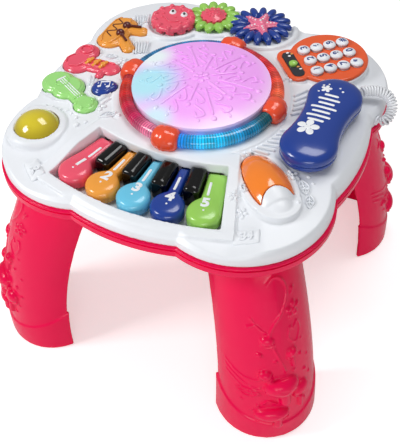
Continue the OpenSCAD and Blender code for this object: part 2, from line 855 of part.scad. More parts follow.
module guitar_button() {
    color("#a5e58a") button_body(guitar_stems, button_tops[0], flange_top(183)) {
        guitar_plan(0);
        guitar_plan(-1.5);
        guitar_plan(-4);
        guitar_plan(1.4);
    }
}

module trumpet_button() {
    color("#f6607f") button_body([trumpet_stem], button_tops[1], flange_top(180)) {
        trumpet_plan(0);
        trumpet_plan(-1.5);
        trumpet_plan(-3.6);
        trumpet_plan(1.4);
    }
}

module trumpet_valves() {
    color("#f6a04a") for (x = [14, 23, 32]) translate([trumpet_at[0] + x, trumpet_at[1] + 4, button_tops[1] + eps])
        rotate(-12) {
            cylinder(r = 3, h = 3.4);
            translate([-1.8, -7, 0]) cube([3.6, 14, 2.2]);
        }
}

module drum_button() {
    color("#f0953a") button_body([snare_stem], button_tops[2], flange_top(190)) {
        drum_plan(0);
        drum_plan(-1.5);
        drum_plan(-4);
        drum_plan(1.4);
    }
}

module drum_sticks() {
    color("#5a2015") for (s = [[8, 10, -38], [8, 26, 12]])
        translate([snare_at[0] + s[0], snare_at[1] + s[1], button_tops[2] + eps]) {
            intersection() {
                translate([0, 0, 0.6]) sphere(5.2, $fn = 40);
                cylinder(r = 8, h = 12);
            }
            rotate(s[2]) translate([0, -1.3, 0]) cube([18, 2.6, 2.4]);
        }
}

module mode_button() {
    color("#1f3f9e") button_body([mode_stem], button_tops[3], flange_top(124)) {
        mode_plan(0);
        mode_plan(-1.2);
        mode_plan(-3);
        mode_plan(1.4);
    }
}

// ---- gears ----

// Half of a blunt toy-gear tooth, root to tip: share of its height, share of its half width
tooth_side = [[-1, 1.25], [-0.5, 1.12], [0, 1], [0.5, 0.9], [0.8, 0.7], [1, 0.36]];

function tooth_half(n, i, s) = let (p = gear_module * n / 2, f = 90 / n - gear_play / 2 / p * 57.3)
    [for (q = tooth_side) [p + gear_module * (q[0] > 0 ? tooth_tip : tooth_root) * q[0],
        360 / n * i + s * f * q[1]]];
function tooth_points(n, i) = let (b = tooth_half(n, i, 1))
    concat(tooth_half(n, i, -1), [for (k = [len(b) - 1:-1:0]) b[k]]);

module gear_plan(n) {
    polygon([for (i = [0:n - 1]) for (q = tooth_points(n, i)) q[0] * [cos(q[1]), sin(q[1])]]);
}

module gear_blank(n, at, turn) {
    translate([at[0], at[1], gear_z]) difference() {
        rotate(turn) linear_extrude(gear_t) gear_plan(n);
        translate([0, 0, -1]) cylinder(r = post_r + 0.06, h = gear_t - 0.6);
    }
}

// Turns that bring the teeth into mesh along the line between two centres
flower_turn = star_dir;
star_turn = star_dir + 180 + 180 / star_teeth;
animal_turn = animal_dir + 180 + 180 / animal_teeth
    + (animal_dir - flower_turn) % (360 / flower_teeth) * flower_teeth / animal_teeth;

module animal_gear() {
    color("#f6607f") {
        gear_blank(animal_teeth, animal_at, animal_turn);
        translate([animal_at[0], animal_at[1], 0]) {
            disc(animal_disc_r, gear_top + seat, gear_top + 5, 4);
            translate([0, 0, gear_top - 0.5]) cylinder(r = pitch_animal - 7, h = 2);
            for (s = [-1, 1]) translate([s * 7.5 + 3, 9, gear_top + 2.5]) sphere(4.6, $fn = 48);
        }
    }
}

module flower_gear() {
    color("#96dc5a") {
        gear_blank(flower_teeth, flower_at, flower_turn);
    }
}

module petal_plan(n, r, lobe) {
    circle(r);
    for (i = [0:n - 1]) rotate(360 / n * i) translate([r, 0]) circle(lobe);
}

module flower_centre() {
    color("#f0506a") translate([flower_at[0], flower_at[1], gear_top]) difference() {
        union() {
            linear_extrude(3) petal_plan(12, 12.5, 3.3);
            intersection() {
                translate([0, 0, -16]) sphere(23, $fn = 72);
                cylinder(r = 12.5, h = 20);
            }
        }
        translate([0, 0, -1]) cylinder(r = 4.6, h = 1.5);
    }
}

module star_gear() {
    color("#1f3f9e") gear_blank(star_teeth, star_at, star_turn);
}

module star_plan(r, w) {
    for (i = [0:4]) rotate(72 * i + 18) {
        polygon([[0, -w], [r - w * 0.5, -w * 0.5], [r - w * 0.5, w * 0.5], [0, w]]);
        translate([r - w * 0.5, 0]) circle(w * 0.5);
    }
    circle(w * 1.5);
}

module starfish() {
    color("#f6709a") translate([star_at[0], star_at[1], gear_top]) difference() {
        union() {
            linear_extrude(2.4) star_plan(23, 7.6);
            translate([0, 0, 2]) linear_extrude(2) star_plan(20, 5);
            intersection() {
                translate([0, 0, -2]) sphere(9, $fn = 48);
                cylinder(r = 9, h = 12);
            }
        }
        translate([0, 0, -1]) cylinder(r = 4.6, h = 2.2);
    }
}

// ---- telephone ----

module at_keypad() {
    translate([keypad_at[0], keypad_at[1], 0]) rotate(keypad_turn) children();
}

module pod_plan(g) {
    translate(pod_at) capsule([0, -pod_half + 4], [0, pod_half - 4], pod_r + g);
}

module keypad_plan(g) {
    circle(pad_disc_r + g);
    pod_plan(g);
}

function number_at(i) = grid_at + [(i % 4 - 1.5) * number_dx, (floor(i / 4) - 1) * -number_dy];

module keypad_panel() {
    color("#f0602f") at_keypad() difference() {
        union() {
            disc(pad_disc_r, platform_top + eps, panel_top, 2.5);
            translate([0, 0, platform_top + eps]) linear_extrude(panel_top - platform_top - eps) pod_plan(0);
        }
        translate([0, 0, platform_top - 1]) linear_extrude(panel_top - panel_t - platform_top + 1) keypad_plan(-panel_t);
        for (i = [0:11]) translate([number_at(i)[0], number_at(i)[1], deck_h])
            cylinder(r = number_r + 0.35, h = 40);
        translate([0, 0, panel_top - 1.4]) linear_extrude(10) pod_plan(-5.5);
        translate([pod_at[0], pod_at[1], deck_h]) cylinder(r = 5.2, h = 40);
    }
}

module display_window() {
    color("#23262c") at_keypad() translate([0, 0, panel_top - 1.4]) difference() {
        linear_extrude(1.6) pod_plan(-5.7);
        translate([pod_at[0], pod_at[1], -1]) cylinder(r = 5.2, h = 10);
    }
}

pimple_z = keypad_floor + board_t + 0.8;

module keypad_board() {
    color("#1f7a4a") at_keypad() translate([0, 0, keypad_floor]) {
        linear_extrude(board_t) keypad_plan(-panel_t - 0.5);
        for (p = concat([for (i = [0:11]) number_at(i)], [pod_at])) translate([p[0], p[1], 0])
            cylinder(r = 2.2, h = pimple_z - keypad_floor);
    }
}

module number_cap(r, rise, bulge) {
    cap_r = (r * r + bulge * bulge) / (2 * bulge);
    top = panel_top + rise;
    flange = panel_top - panel_t - seat;
    intersection() {
        translate([0, 0, top + bulge - cap_r]) sphere(cap_r, $fn = 64);
        translate([0, 0, top - 0.1]) cylinder(r = r, h = 20);
    }
    translate([0, 0, flange - 0.1]) cylinder(r = r, h = top - flange + 0.1);
    translate([0, 0, flange - 1.2]) cylinder(r = r + 1, h = 1.2);
    translate([0, 0, pimple_z + number_travel + seat])
        cylinder(r = 1.8, h = flange - 1 - pimple_z - number_travel - seat);
}

module number_button(i) {
    color("#f6f6f4") at_keypad() translate([number_at(i)[0], number_at(i)[1], 0]) number_cap(number_r, 2.4, 3);
}

module call_button() {
    color("#a8e070") at_keypad() translate([pod_at[0], pod_at[1], 0]) number_cap(4.8, 2, 2);
}

// Plan of the handset: two round ends joined by a waist between two large arcs
module handset_plan(g) {
    side_x = handset_waist + waist_r;
    k = (handset_r + g) / norm([side_x, handset_span / 2]);
    tx = side_x * k;
    ty = handset_span / 2 * (1 - k);
    translate([handset_x, handset_y]) {
        for (s = [-1, 1]) translate([0, s * handset_span / 2]) circle(handset_r + g, $fn = 120);
        difference() {
            polygon([[-tx, -ty], [tx, -ty], [tx, ty], [-tx, ty]]);
            for (s = [-1, 1]) translate([s * side_x, 0]) circle(waist_r - g, $fn = 240);
        }
    }
}

// Pillow that rounds the handset's back: arched across and along
module handset_pillow() {
    r_x = (handset_r * handset_r + handset_edge * handset_edge) / (2 * handset_edge);
    y_end = handset_span / 2 + handset_r;
    r_y = (y_end * y_end + handset_edge * handset_edge) / (2 * handset_edge);
    z1 = handset_z + handset_t;
    translate([handset_x, handset_y, 0]) intersection() {
        translate([0, 0, z1 - r_x]) rotate([90, 0, 0]) cylinder(r = r_x, h = 3 * y_end, center = true, $fn = 180);
        translate([0, 0, z1 - r_y]) rotate([0, 90, 0]) cylinder(r = r_y, h = 90, center = true, $fn = 240);
    }
}

module handset_cover() {
    color("#2247b8") intersection() {
        translate([0, 0, handset_split]) linear_extrude(40) handset_plan(0);
        handset_pillow();
    }
}

module handset_base() {
    color("#2247b8") difference() {
        union() {
            translate([0, 0, handset_z + 2.5]) linear_extrude(handset_split - handset_z - 2.5) handset_plan(-0.8);
            translate([0, 0, handset_z]) linear_extrude(3) handset_plan(-3.5);
            // socket that the cord comes out of
            translate(cord_points[0]) rotate([0, 90, atan2(cord_out[1], cord_out[0])])
                translate([0, 0, -14]) cylinder(r = socket_r, h = 14 - eps);
        }
        for (s = [-1, 1]) for (a = [0:60:300]) translate([handset_x + 8 * cos(a),
            handset_y + s * handset_span / 2 + 8 * sin(a), handset_z - 1]) cylinder(r = 1.3, h = 3, $fn = 16);
    }
}

// ---- cord ----

function unit(v) = v / norm(v);
function cord_dir(p, i) = i == 0 ? cord_out : i == len(p) - 1 ? -grommet_axis : unit(p[i + 1] - p[i - 1]);
function ring_at(p, i, r, n) = let (t = cord_dir(p, i), u = unit(cross(t, [0, 0, 1])), v = cross(u, t))
    [for (k = [0:n - 1]) p[i] + r * (cos(360 * k / n) * u + sin(360 * k / n) * v)];

module tube(p, r, n) {
    m = len(p);
    pts = [for (i = [0:m - 1]) each ring_at(p, i, r, n)];
    sides = [for (i = [0:m - 2]) for (k = [0:n - 1]) let (a = i * n + k, b = i * n + (k + 1) % n)
        [a, a + n, b + n, b]];
    polyhedron(points = pts, faces = concat([[for (k = [0:n - 1]) k]], sides,
        [[for (k = [n - 1:-1:0]) (m - 1) * n + k]]), convexity = 6);
}

module phone_cord() {
    color("#f2f2f4") tube(cord_points, cord_d / 2, 12);
}

module at_grommet() {
    translate(cord_points[len(cord_points) - 1]) rotate([0, 90, atan2(grommet_axis[1], grommet_axis[0])])
        children();
}

module cord_grommet() {
    color("#f2f2f4") at_grommet() difference() {
        union() {
            translate([0, 0, -8]) cylinder(r = grommet_r - 0.1, h = 7);
            translate([0, 0, -1.4 - eps]) cylinder(r = grommet_r + 1.2, h = 1.4);
        }
        translate([0, 0, -9]) cylinder(r = 1.6, h = 12);
    }
}

// ---- inside ----

module button_boards() {
    color("#1f7a4a") translate([0, 0, board_top - board_t]) {
        translate(left_board_at) cube([left_board_size[0], left_board_size[1], board_t]);
        translate(egg_board_at) cube([egg_board_size[0], egg_board_size[1], board_t]);
    }
}

module main_board() {
    color("#1f7a4a") translate([0, drum_y, board_top - board_t]) cylinder(r = main_board_r, h = board_t, $fn = 96);
}

module tact_switches() {
    spots = concat([dome_at, egg_stem, trumpet_stem, snare_stem, mode_stem], guitar_stems);
    color("#202020") for (p = spots) translate([p[0], p[1], board_top]) {
        translate([-3, -3, 0]) cube([6, 6, switch_h - 0.8]);
        cylinder(r = 1.6, h = switch_h);
    }
}

module speaker() {
    color("#303236") translate([0, drum_y, floor_z]) {
        cylinder(r = speaker_r, h = 3);
        translate([0, 0, 3 - eps]) cylinder(r1 = speaker_r - 3, r2 = 10, h = 4);
        translate([0, 0, 7 - 2 * eps]) cylinder(r = 11, h = 4.5);
    }
}

module battery_box() {
    color("#2c2c30") translate([box_at[0] - box_l / 2, box_at[1] - box_w / 2, floor_z]) difference() {
        cube([box_l, box_w, box_h]);
        translate([box_wall, box_wall, -1])
            cube([box_l - 2 * box_wall, box_w - 2 * box_wall, box_h - box_wall + 1]);
    }
}

module batteries() {
    color("#c8a23a") for (i = [-1:1]) translate([box_at[0], box_at[1] + i * (2 * cell_r + cell_gap),
        floor_z + box_h - box_wall - seat - cell_r]) rotate([0, 90, 0]) {
            translate([0, 0, -cell_l / 2]) cylinder(r = cell_r, h = cell_l - 1.5);
            translate([0, 0, cell_l / 2 - 1.6]) cylinder(r = 2.6, h = 2.4);
        }
}

module battery_door() {
    color("#e81e5a") translate([box_at[0], box_at[1], tray_z]) difference() {
        union() {
            translate([-box_l / 2 + seat, -box_w / 2 + seat, 0]) cube([box_l - 2 * seat, box_w - 2 * seat, wall]);
            for (i = [-1:1]) translate([i * 20 - 4, box_w / 2 - 3 + seat, wall - eps]) cube([8, 1, 2]);
        }
        for (i = [-2:2]) translate([-10, -box_w / 2 + 8 + i * 2.4, -1]) cube([20, 1.2, 1.6]);
    }
}

module power_switch() {
    color("#f6c82a") translate([switch_at[0], switch_at[1], tray_z]) {
        translate([-4, -3, -1.5]) cube([8, 6, wall + 1.5 + seat + eps]);
        translate([-9, -6, wall + seat]) cube([18, 12, 2]);
    }
}

module screw(head_r, len) {
    translate([0, 0, -eps]) cylinder(r = screw_r - 0.15, h = len, $fn = 24);
    translate([0, 0, -head_h]) cylinder(r = head_r, h = head_h, $fn = 32);
}

module screws() {
    color("#8d9096") {
        for (p = bosses) translate([p[0], p[1], tray_z + head_h]) screw(2.8, 12);
        for (k = [0:3]) leg_frame(k) translate([plug_u, 0, plug_top - wall]) screw(3, 7);
    }
}

top_shell();
base_tray();
leg_front_left();
leg_front_right();
leg_back_right();
leg_back_left();
light_ring();
led_strip();
ring_clips();
drum_pad();
drum_springs();
key_bed();
black_keys();
for (i = [1:5]) piano_key(i);
dome_button();
egg_button();
guitar_button();
trumpet_button();
trumpet_valves();
drum_button();
drum_sticks();
mode_button();
animal_gear();
flower_gear();
flower_centre();
star_gear();
starfish();
keypad_panel();
display_window();
keypad_board();
call_button();
number_button(8);  // number_1
number_button(4);  // number_2
number_button(0);  // number_3
number_button(9);  // number_4
number_button(5);  // number_5
number_button(1);  // number_6
number_button(10);  // number_7
number_button(6);  // number_8
number_button(2);  // number_9
number_button(11);  // number_star
number_button(7);  // number_0
number_button(3);  // number_hash
handset_cover();
handset_base();
phone_cord();
cord_grommet();
button_boards();
main_board();
tact_switches();
speaker();
battery_box();
batteries();
battery_door();
power_switch();
screws();
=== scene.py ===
import json
import math

import bmesh
import bpy
from mathutils import Matrix, Vector

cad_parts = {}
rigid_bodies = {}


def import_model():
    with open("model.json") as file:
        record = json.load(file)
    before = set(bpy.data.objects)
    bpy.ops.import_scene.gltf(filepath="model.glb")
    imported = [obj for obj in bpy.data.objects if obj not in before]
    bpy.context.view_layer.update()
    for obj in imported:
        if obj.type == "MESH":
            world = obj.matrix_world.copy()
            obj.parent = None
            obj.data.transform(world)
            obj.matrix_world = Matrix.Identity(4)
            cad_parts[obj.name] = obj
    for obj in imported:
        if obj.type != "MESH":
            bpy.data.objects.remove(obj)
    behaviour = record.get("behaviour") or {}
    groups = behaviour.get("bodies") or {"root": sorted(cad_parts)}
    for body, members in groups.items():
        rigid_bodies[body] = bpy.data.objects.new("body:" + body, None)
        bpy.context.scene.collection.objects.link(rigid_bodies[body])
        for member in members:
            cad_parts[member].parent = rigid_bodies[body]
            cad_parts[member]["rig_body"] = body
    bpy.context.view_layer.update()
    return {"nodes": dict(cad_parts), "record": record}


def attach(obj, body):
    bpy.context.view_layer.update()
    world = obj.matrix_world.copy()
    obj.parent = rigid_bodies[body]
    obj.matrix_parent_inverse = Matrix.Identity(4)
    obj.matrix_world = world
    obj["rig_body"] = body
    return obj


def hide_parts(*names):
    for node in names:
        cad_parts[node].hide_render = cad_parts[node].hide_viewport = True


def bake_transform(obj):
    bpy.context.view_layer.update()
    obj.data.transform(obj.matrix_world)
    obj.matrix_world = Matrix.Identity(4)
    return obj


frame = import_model()
nodes = frame["nodes"]
slot_of = {part["node"]: part["material_slot"] for part in frame["record"]["subparts"]}

# ---- sizes that the CAD source also has, in millimetres ----

MM = 0.001
CROWN_TOP, CROWN_R = 288.0, 1720.0
EDGE_Z, EDGE_R = 281.0, 14.0
HIGH_Z = 287.0
SIDE_R, SIDE_CY = 214.25, 31.25
LOBE_C, LOBE_R = 88.0, 91.92
DRUM_Y, PAD_R, PAD_CROWN, SHOULDER_Z = 5.0, 74.0, 8.0, 304.0
RING_R, TUBE_R, TUBE_Z = 81.0, 7.0, 293.0
LEG_CU, LEG_ARC, LEG_DEPTH, LEG_HALF, LEG_LEAN = -232.0, 430.0, 62.0, 57.0, math.radians(2.4)
FAN_X, FAN_Y, KEY_PITCH, KEY_REACH, KEY_TOP = -2.0, 150.0, 7.0, 297.0, 276.5
KEYPAD_AT, KEYPAD_TURN, PANEL_TOP = (102.5, 120.5), math.radians(42), 289.5
HANDSET_X, HANDSET_Y, HANDSET_TOP = 135.5, 4.5, 306.0
STAR_AT, FLOWER_AT, ANIMAL_AT = (8.5, 149.0), (-50.0, 143.9), (-91.2, 118.1)
GEAR_TOP, STAR_TEETH, FLOWER_TEETH, ANIMAL_TEETH = 288.6, 16, 13, 11
TRUMPET_AT, SNARE_AT = (-156, 4), (-145, 60)

# Middle line of the curly cord, from the handset's socket to the grommet's face
CORD_POINTS = [(152, 72, 289), (160, 78, 290), (168, 82, 290), (176, 84, 289), (183, 84, 286),
               (188, 81, 281), (190, 76, 276), (189.5, 71, 271), (186.5, 67, 266.5), (179.3, 67.6, 264)]
GROMMET_AXIS = (0.976, -0.218, 0)


# ---- the camera: where it stands in metres, its two angles and its roll in degrees ----

CAMERA_AT, CAMERA_LENS = (0.2955, -0.5825, 0.8134), 62.65
CAMERA_TURNS = (27.38, 47.97, -2.5)


def place_camera():
    """Looks down at the table from the front right, as a shop picture does."""
    azimuth, elevation, roll = [math.radians(angle) for angle in CAMERA_TURNS]
    back = Vector((math.sin(azimuth) * math.cos(elevation),
                   -math.cos(azimuth) * math.cos(elevation), math.sin(elevation)))
    side = Vector((0, 0, 1)).cross(back).normalized()
    up = back.cross(side)
    right = math.cos(roll) * side + math.sin(roll) * up
    top = -math.sin(roll) * side + math.cos(roll) * up
    camera = bpy.data.objects.new("camera", bpy.data.cameras.new("camera"))
    bpy.context.scene.collection.objects.link(camera)
    turn = Matrix((right, top, back)).transposed()
    camera.matrix_world = Matrix.Translation(Vector(CAMERA_AT)) @ turn.to_4x4()
    camera.data.lens = CAMERA_LENS
    camera.data.sensor_width = 36
    camera.data.clip_start, camera.data.clip_end = 0.02, 20
    bpy.context.scene.camera = camera


place_camera()


# ---- small tools ----

def link(obj):
    """Puts an object in the scene."""
    bpy.context.scene.collection.objects.link(obj)
    return obj


def new_piece(name, verts, faces, material):
    """A smooth piece with one material, in the scene."""
    mesh = bpy.data.meshes.new(name)
    mesh.from_pydata([tuple(v) for v in verts], [], faces)
    mesh.validate()
    mesh.materials.append(material)
    for face in mesh.polygons:
        face.use_smooth = True
    return link(bpy.data.objects.new(name, mesh))


def finish_piece(piece, body, slot, replaced=()):
    """Fixes a finished piece to its body and hides the CAD nodes that it replaces."""
    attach(piece, body)
    if replaced:
        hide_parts(*replaced)
    return piece


def bake(piece):
    """Turns the result of a piece's modifiers into its plain mesh."""
    graph = bpy.context.evaluated_depsgraph_get()
    mesh = bpy.data.meshes.new_from_object(piece.evaluated_get(graph))
    piece.modifiers.clear()
    old, piece.data = piece.data, mesh
    if old.users == 0:
        bpy.data.meshes.remove(old)
    return piece


def smooth_route(points, step):
    """Points of a Catmull-Rom curve through the given ones, about step apart."""
    pts = [Vector(p) for p in points]
    pts = [2 * pts[0] - pts[1]] + pts + [2 * pts[-1] - pts[-2]]
    route = []
    for i in range(1, len(pts) - 2):
        a, b, c, d = pts[i - 1:i + 3]
        count = max(2, math.ceil((c - b).length / step))
        for k in range(count):
            t = k / count
            route.append(0.5 * (2 * b + (c - a) * t + (2 * a - 5 * b + 4 * c - d) * t * t
                                + (3 * b - a - 3 * c + d) * t ** 3))
    return route + [pts[-2]]


def bands(rings, count):
    """Faces that join rings of so many points each, one after another."""
    faces = []
    for j in range(rings - 1):
        for k in range(count):
            a, b = j * count + k, j * count + (k + 1) % count
            faces.append((a, b, b + count, a + count))
    return faces


def caps(rings, count):
    """The two faces that close a row of rings at its ends."""
    last = (rings - 1) * count
    return [tuple(range(count - 1, -1, -1)), tuple(range(last, last + count))]


def tube(route, radius, sides):
    """Vertices and faces of a closed round tube along a route."""
    verts = []
    side = None
    for i, p in enumerate(route):
        ahead = (route[min(i + 1, len(route) - 1)] - route[max(i - 1, 0)]).normalized()
        if side is None:
            side = ahead.orthogonal().normalized()
        side = (side - ahead * side.dot(ahead)).normalized()
        other = ahead.cross(side)
        for k in range(sides):
            angle = 2 * math.pi * k / sides
            verts.append(p + radius * (math.cos(angle) * side + math.sin(angle) * other))
    return verts, bands(len(route), sides) + caps(len(route), sides)


def pillow(outline, spine, profile, place):
    """A closed rounded form. Each profile point makes a ring: its share of the way from the
    spine out to the outline, and its height."""
    verts = []
    for share, z in profile:
        for (x, y), (sx, sy) in zip(outline, spine):
            verts.append(place(sx + (x - sx) * share, sy + (y - sy) * share, z))
    return verts, bands(len(profile), len(outline))


def rounded(top, edge, foot, power, tuck=0.0, steps=10):
    """Profile of a pillow: from the middle of its top over a round edge and down to its foot."""
    rings = [(0.0, top)]
    for k in range(1, steps + 1):
        a = math.pi / 2 * k / steps
        height = max(math.cos(a), 0) ** (2 / power)
        rings.append((math.sin(a) ** (2 / power), edge + (top - edge) * height))
    rings += [(1 - tuck * 0.3, edge + (foot - edge) * 0.6), (1 - tuck, foot + (edge - foot) * 0.08)]
    return rings + [(1 - tuck * 1.6 - 0.01, foot), (0.0, foot)]


def spot_round(at, reach, angle):
    """The place at a distance and an angle from another."""
    return at[0] + reach * math.cos(angle), at[1] + reach * math.sin(angle)


def oval(at, across, along, count=10):
    """Points of an oval, given by half its size each way."""
    turns = [2 * math.pi * k / count for k in range(count)]
    return [(at[0] + across * math.cos(a), at[1] + along * math.sin(a)) for a in turns]


def lathe(profile, at, sides=36):
    """A closed form turned about an upright line; the profile starts and ends on that line."""
    verts = []
    for radius, z in profile:
        for k in range(sides):
            x, y = spot_round(at, radius, 2 * math.pi * k / sides)
            verts.append(Vector((x, y, z)) * MM)
    return verts, bands(len(profile), sides)


def gathered(parts):
    """One list of vertices and one of faces from several closed parts."""
    verts, faces = [], []
    for part_verts, part_faces in parts:
        start = len(verts)
        verts += part_verts
        faces += [tuple(i + start for i in face) for face in part_faces]
    return verts, faces


def face_outwards(mesh, weld=False):
    """Turns the faces of a closed mesh outwards; welding first makes points that coincide one."""
    bm = bmesh.new()
    bm.from_mesh(mesh)
    if weld:
        bmesh.ops.remove_doubles(bm, verts=bm.verts, dist=2e-6)
    bmesh.ops.recalc_face_normals(bm, faces=bm.faces)
    bm.to_mesh(mesh)
    bm.free()


def welded(name, parts, material):
    """A piece from closed parts, with the points that coincide made one."""
    piece = new_piece(name, *gathered(parts), material)
    face_outwards(piece.data, weld=True)
    return piece


# ---- surfaces that raised work lies on: each gives a point from a place and a height, in mm ----

# The deck's fall before the piano: how deep, how wide in degrees from the fan's middle, and over
# which lengths it eases in along the keys, beside them and down the side wall
FRONT_DROP, WINDOW_HALF = 8.5, 17.5
FALL_START, FALL_RUN, FALL_SIDE = 270.0, 42.0, 7.0
WALL_TOP, WALL_RUN = 262.0, 16.0


def eased(share):
    """A share held between 0 and 1, with a soft start and end."""
    share = min(1.0, max(0.0, share))
    return share * share * (3 - 2 * share)


def front_drop(x, y):
    """How far the deck falls in front of the piano, where the keys' round ends stand clear of it."""
    reach = math.hypot(x - FAN_X, y - FAN_Y)
    aside = abs(math.degrees(math.atan2(x - FAN_X, FAN_Y - y)))
    beside = eased((aside - WINDOW_HALF - 1) / FALL_SIDE)
    return FRONT_DROP * eased((reach - FALL_START) / FALL_RUN) * (1 - beside)


def skin_fall(x, y, z):
    """The fall at a point of the deck's skin; the side wall under it stays where it is."""
    return front_drop(x, y) * eased((z - WALL_TOP) / WALL_RUN)


def whole_deck_z(x, y):
    """Height of the crowned white deck with its rounded edge, without the fall."""
    middle = min(SIDE_R - math.hypot(x - cx, y - cy)
                 for cx, cy in ((0, SIDE_CY), (-SIDE_CY, 0), (0, -SIDE_CY), (SIDE_CY, 0)))
    lobes = max(LOBE_R - math.hypot(x - cx, y - cy)
                for cx in (-LOBE_C, LOBE_C) for cy in (-LOBE_C, LOBE_C))
    inset = max(middle, lobes)
    crown = CROWN_TOP - CROWN_R + math.sqrt(CROWN_R ** 2 - x * x - y * y)
    if inset >= EDGE_R:
        return crown
    drop = EDGE_R - max(inset, 0)
    return min(crown, EDGE_Z - EDGE_R + math.sqrt(max(EDGE_R ** 2 - drop * drop, 0)))


def deck_z(x, y):
    """Height of the white deck, with the fall at the piano's front."""
    whole = whole_deck_z(x, y)
    return whole - skin_fall(x, y, whole)


def on_deck(x, y, h):
    """On the white deck."""
    return Vector((x, y, deck_z(x, y) + h)) * MM


def on_top(piece):
    """On the upper side of a piece, wherever that is."""
    bpy.context.view_layer.update()
    low = min(v.co.z for v in piece.data.vertices)

    def place(x, y, h):
        hit, spot = piece.ray_cast(Vector((x, y, 400)) * MM, Vector((0, 0, -1)))[:2]
        return Vector((x * MM, y * MM, (spot.z if hit else low) + h * MM))
    return place


def on_level(z):
    """On a flat surface at a height."""
    return lambda x, y, h: Vector((x, y, z + h)) * MM


def on_pad(x, y, h):
    """On the drum's crowned pad; y counts from the drum's middle."""
    radius = (PAD_R ** 2 + PAD_CROWN ** 2) / (2 * PAD_CROWN)
    z = SHOULDER_Z + PAD_CROWN - radius + math.sqrt(radius ** 2 - x * x - y * y)
    return Vector((x, y + DRUM_Y, z + h)) * MM


def on_leg(turn):
    """On the outside of a leg: y across the leg and z above the floor."""
    ring = LEG_ARC + LEG_DEPTH - LEG_HALF

    def place(y, z, h):
        sign = -1 if y < 0 else 1
        across = min(abs(y) + z * math.sin(LEG_LEAN), LEG_HALF * 0.98)
        round_turn = math.asin(across / LEG_HALF)
        reach = ring + (LEG_HALF + h) * math.cos(round_turn)
        rise = math.asin(z / (ring + LEG_HALF * math.cos(round_turn)))
        flat = (LEG_HALF + h) * math.sin(round_turn)
        height = reach * math.sin(rise)
        p = Vector((LEG_CU + reach * math.cos(rise),
                    sign * (flat * math.cos(LEG_LEAN) - height * math.sin(LEG_LEAN)),
                    flat * math.sin(LEG_LEAN) + height * math.cos(LEG_LEAN)))
        return Matrix.Rotation(turn, 3, "Z") @ p * MM
    return place


def turned(place, at, turn):
    """The same surface, with places counted from a point and turned about it."""
    c, s = math.cos(turn), math.sin(turn)
    return lambda x, y, h: place(at[0] + c * x - s * y, at[1] + s * x + c * y, h)


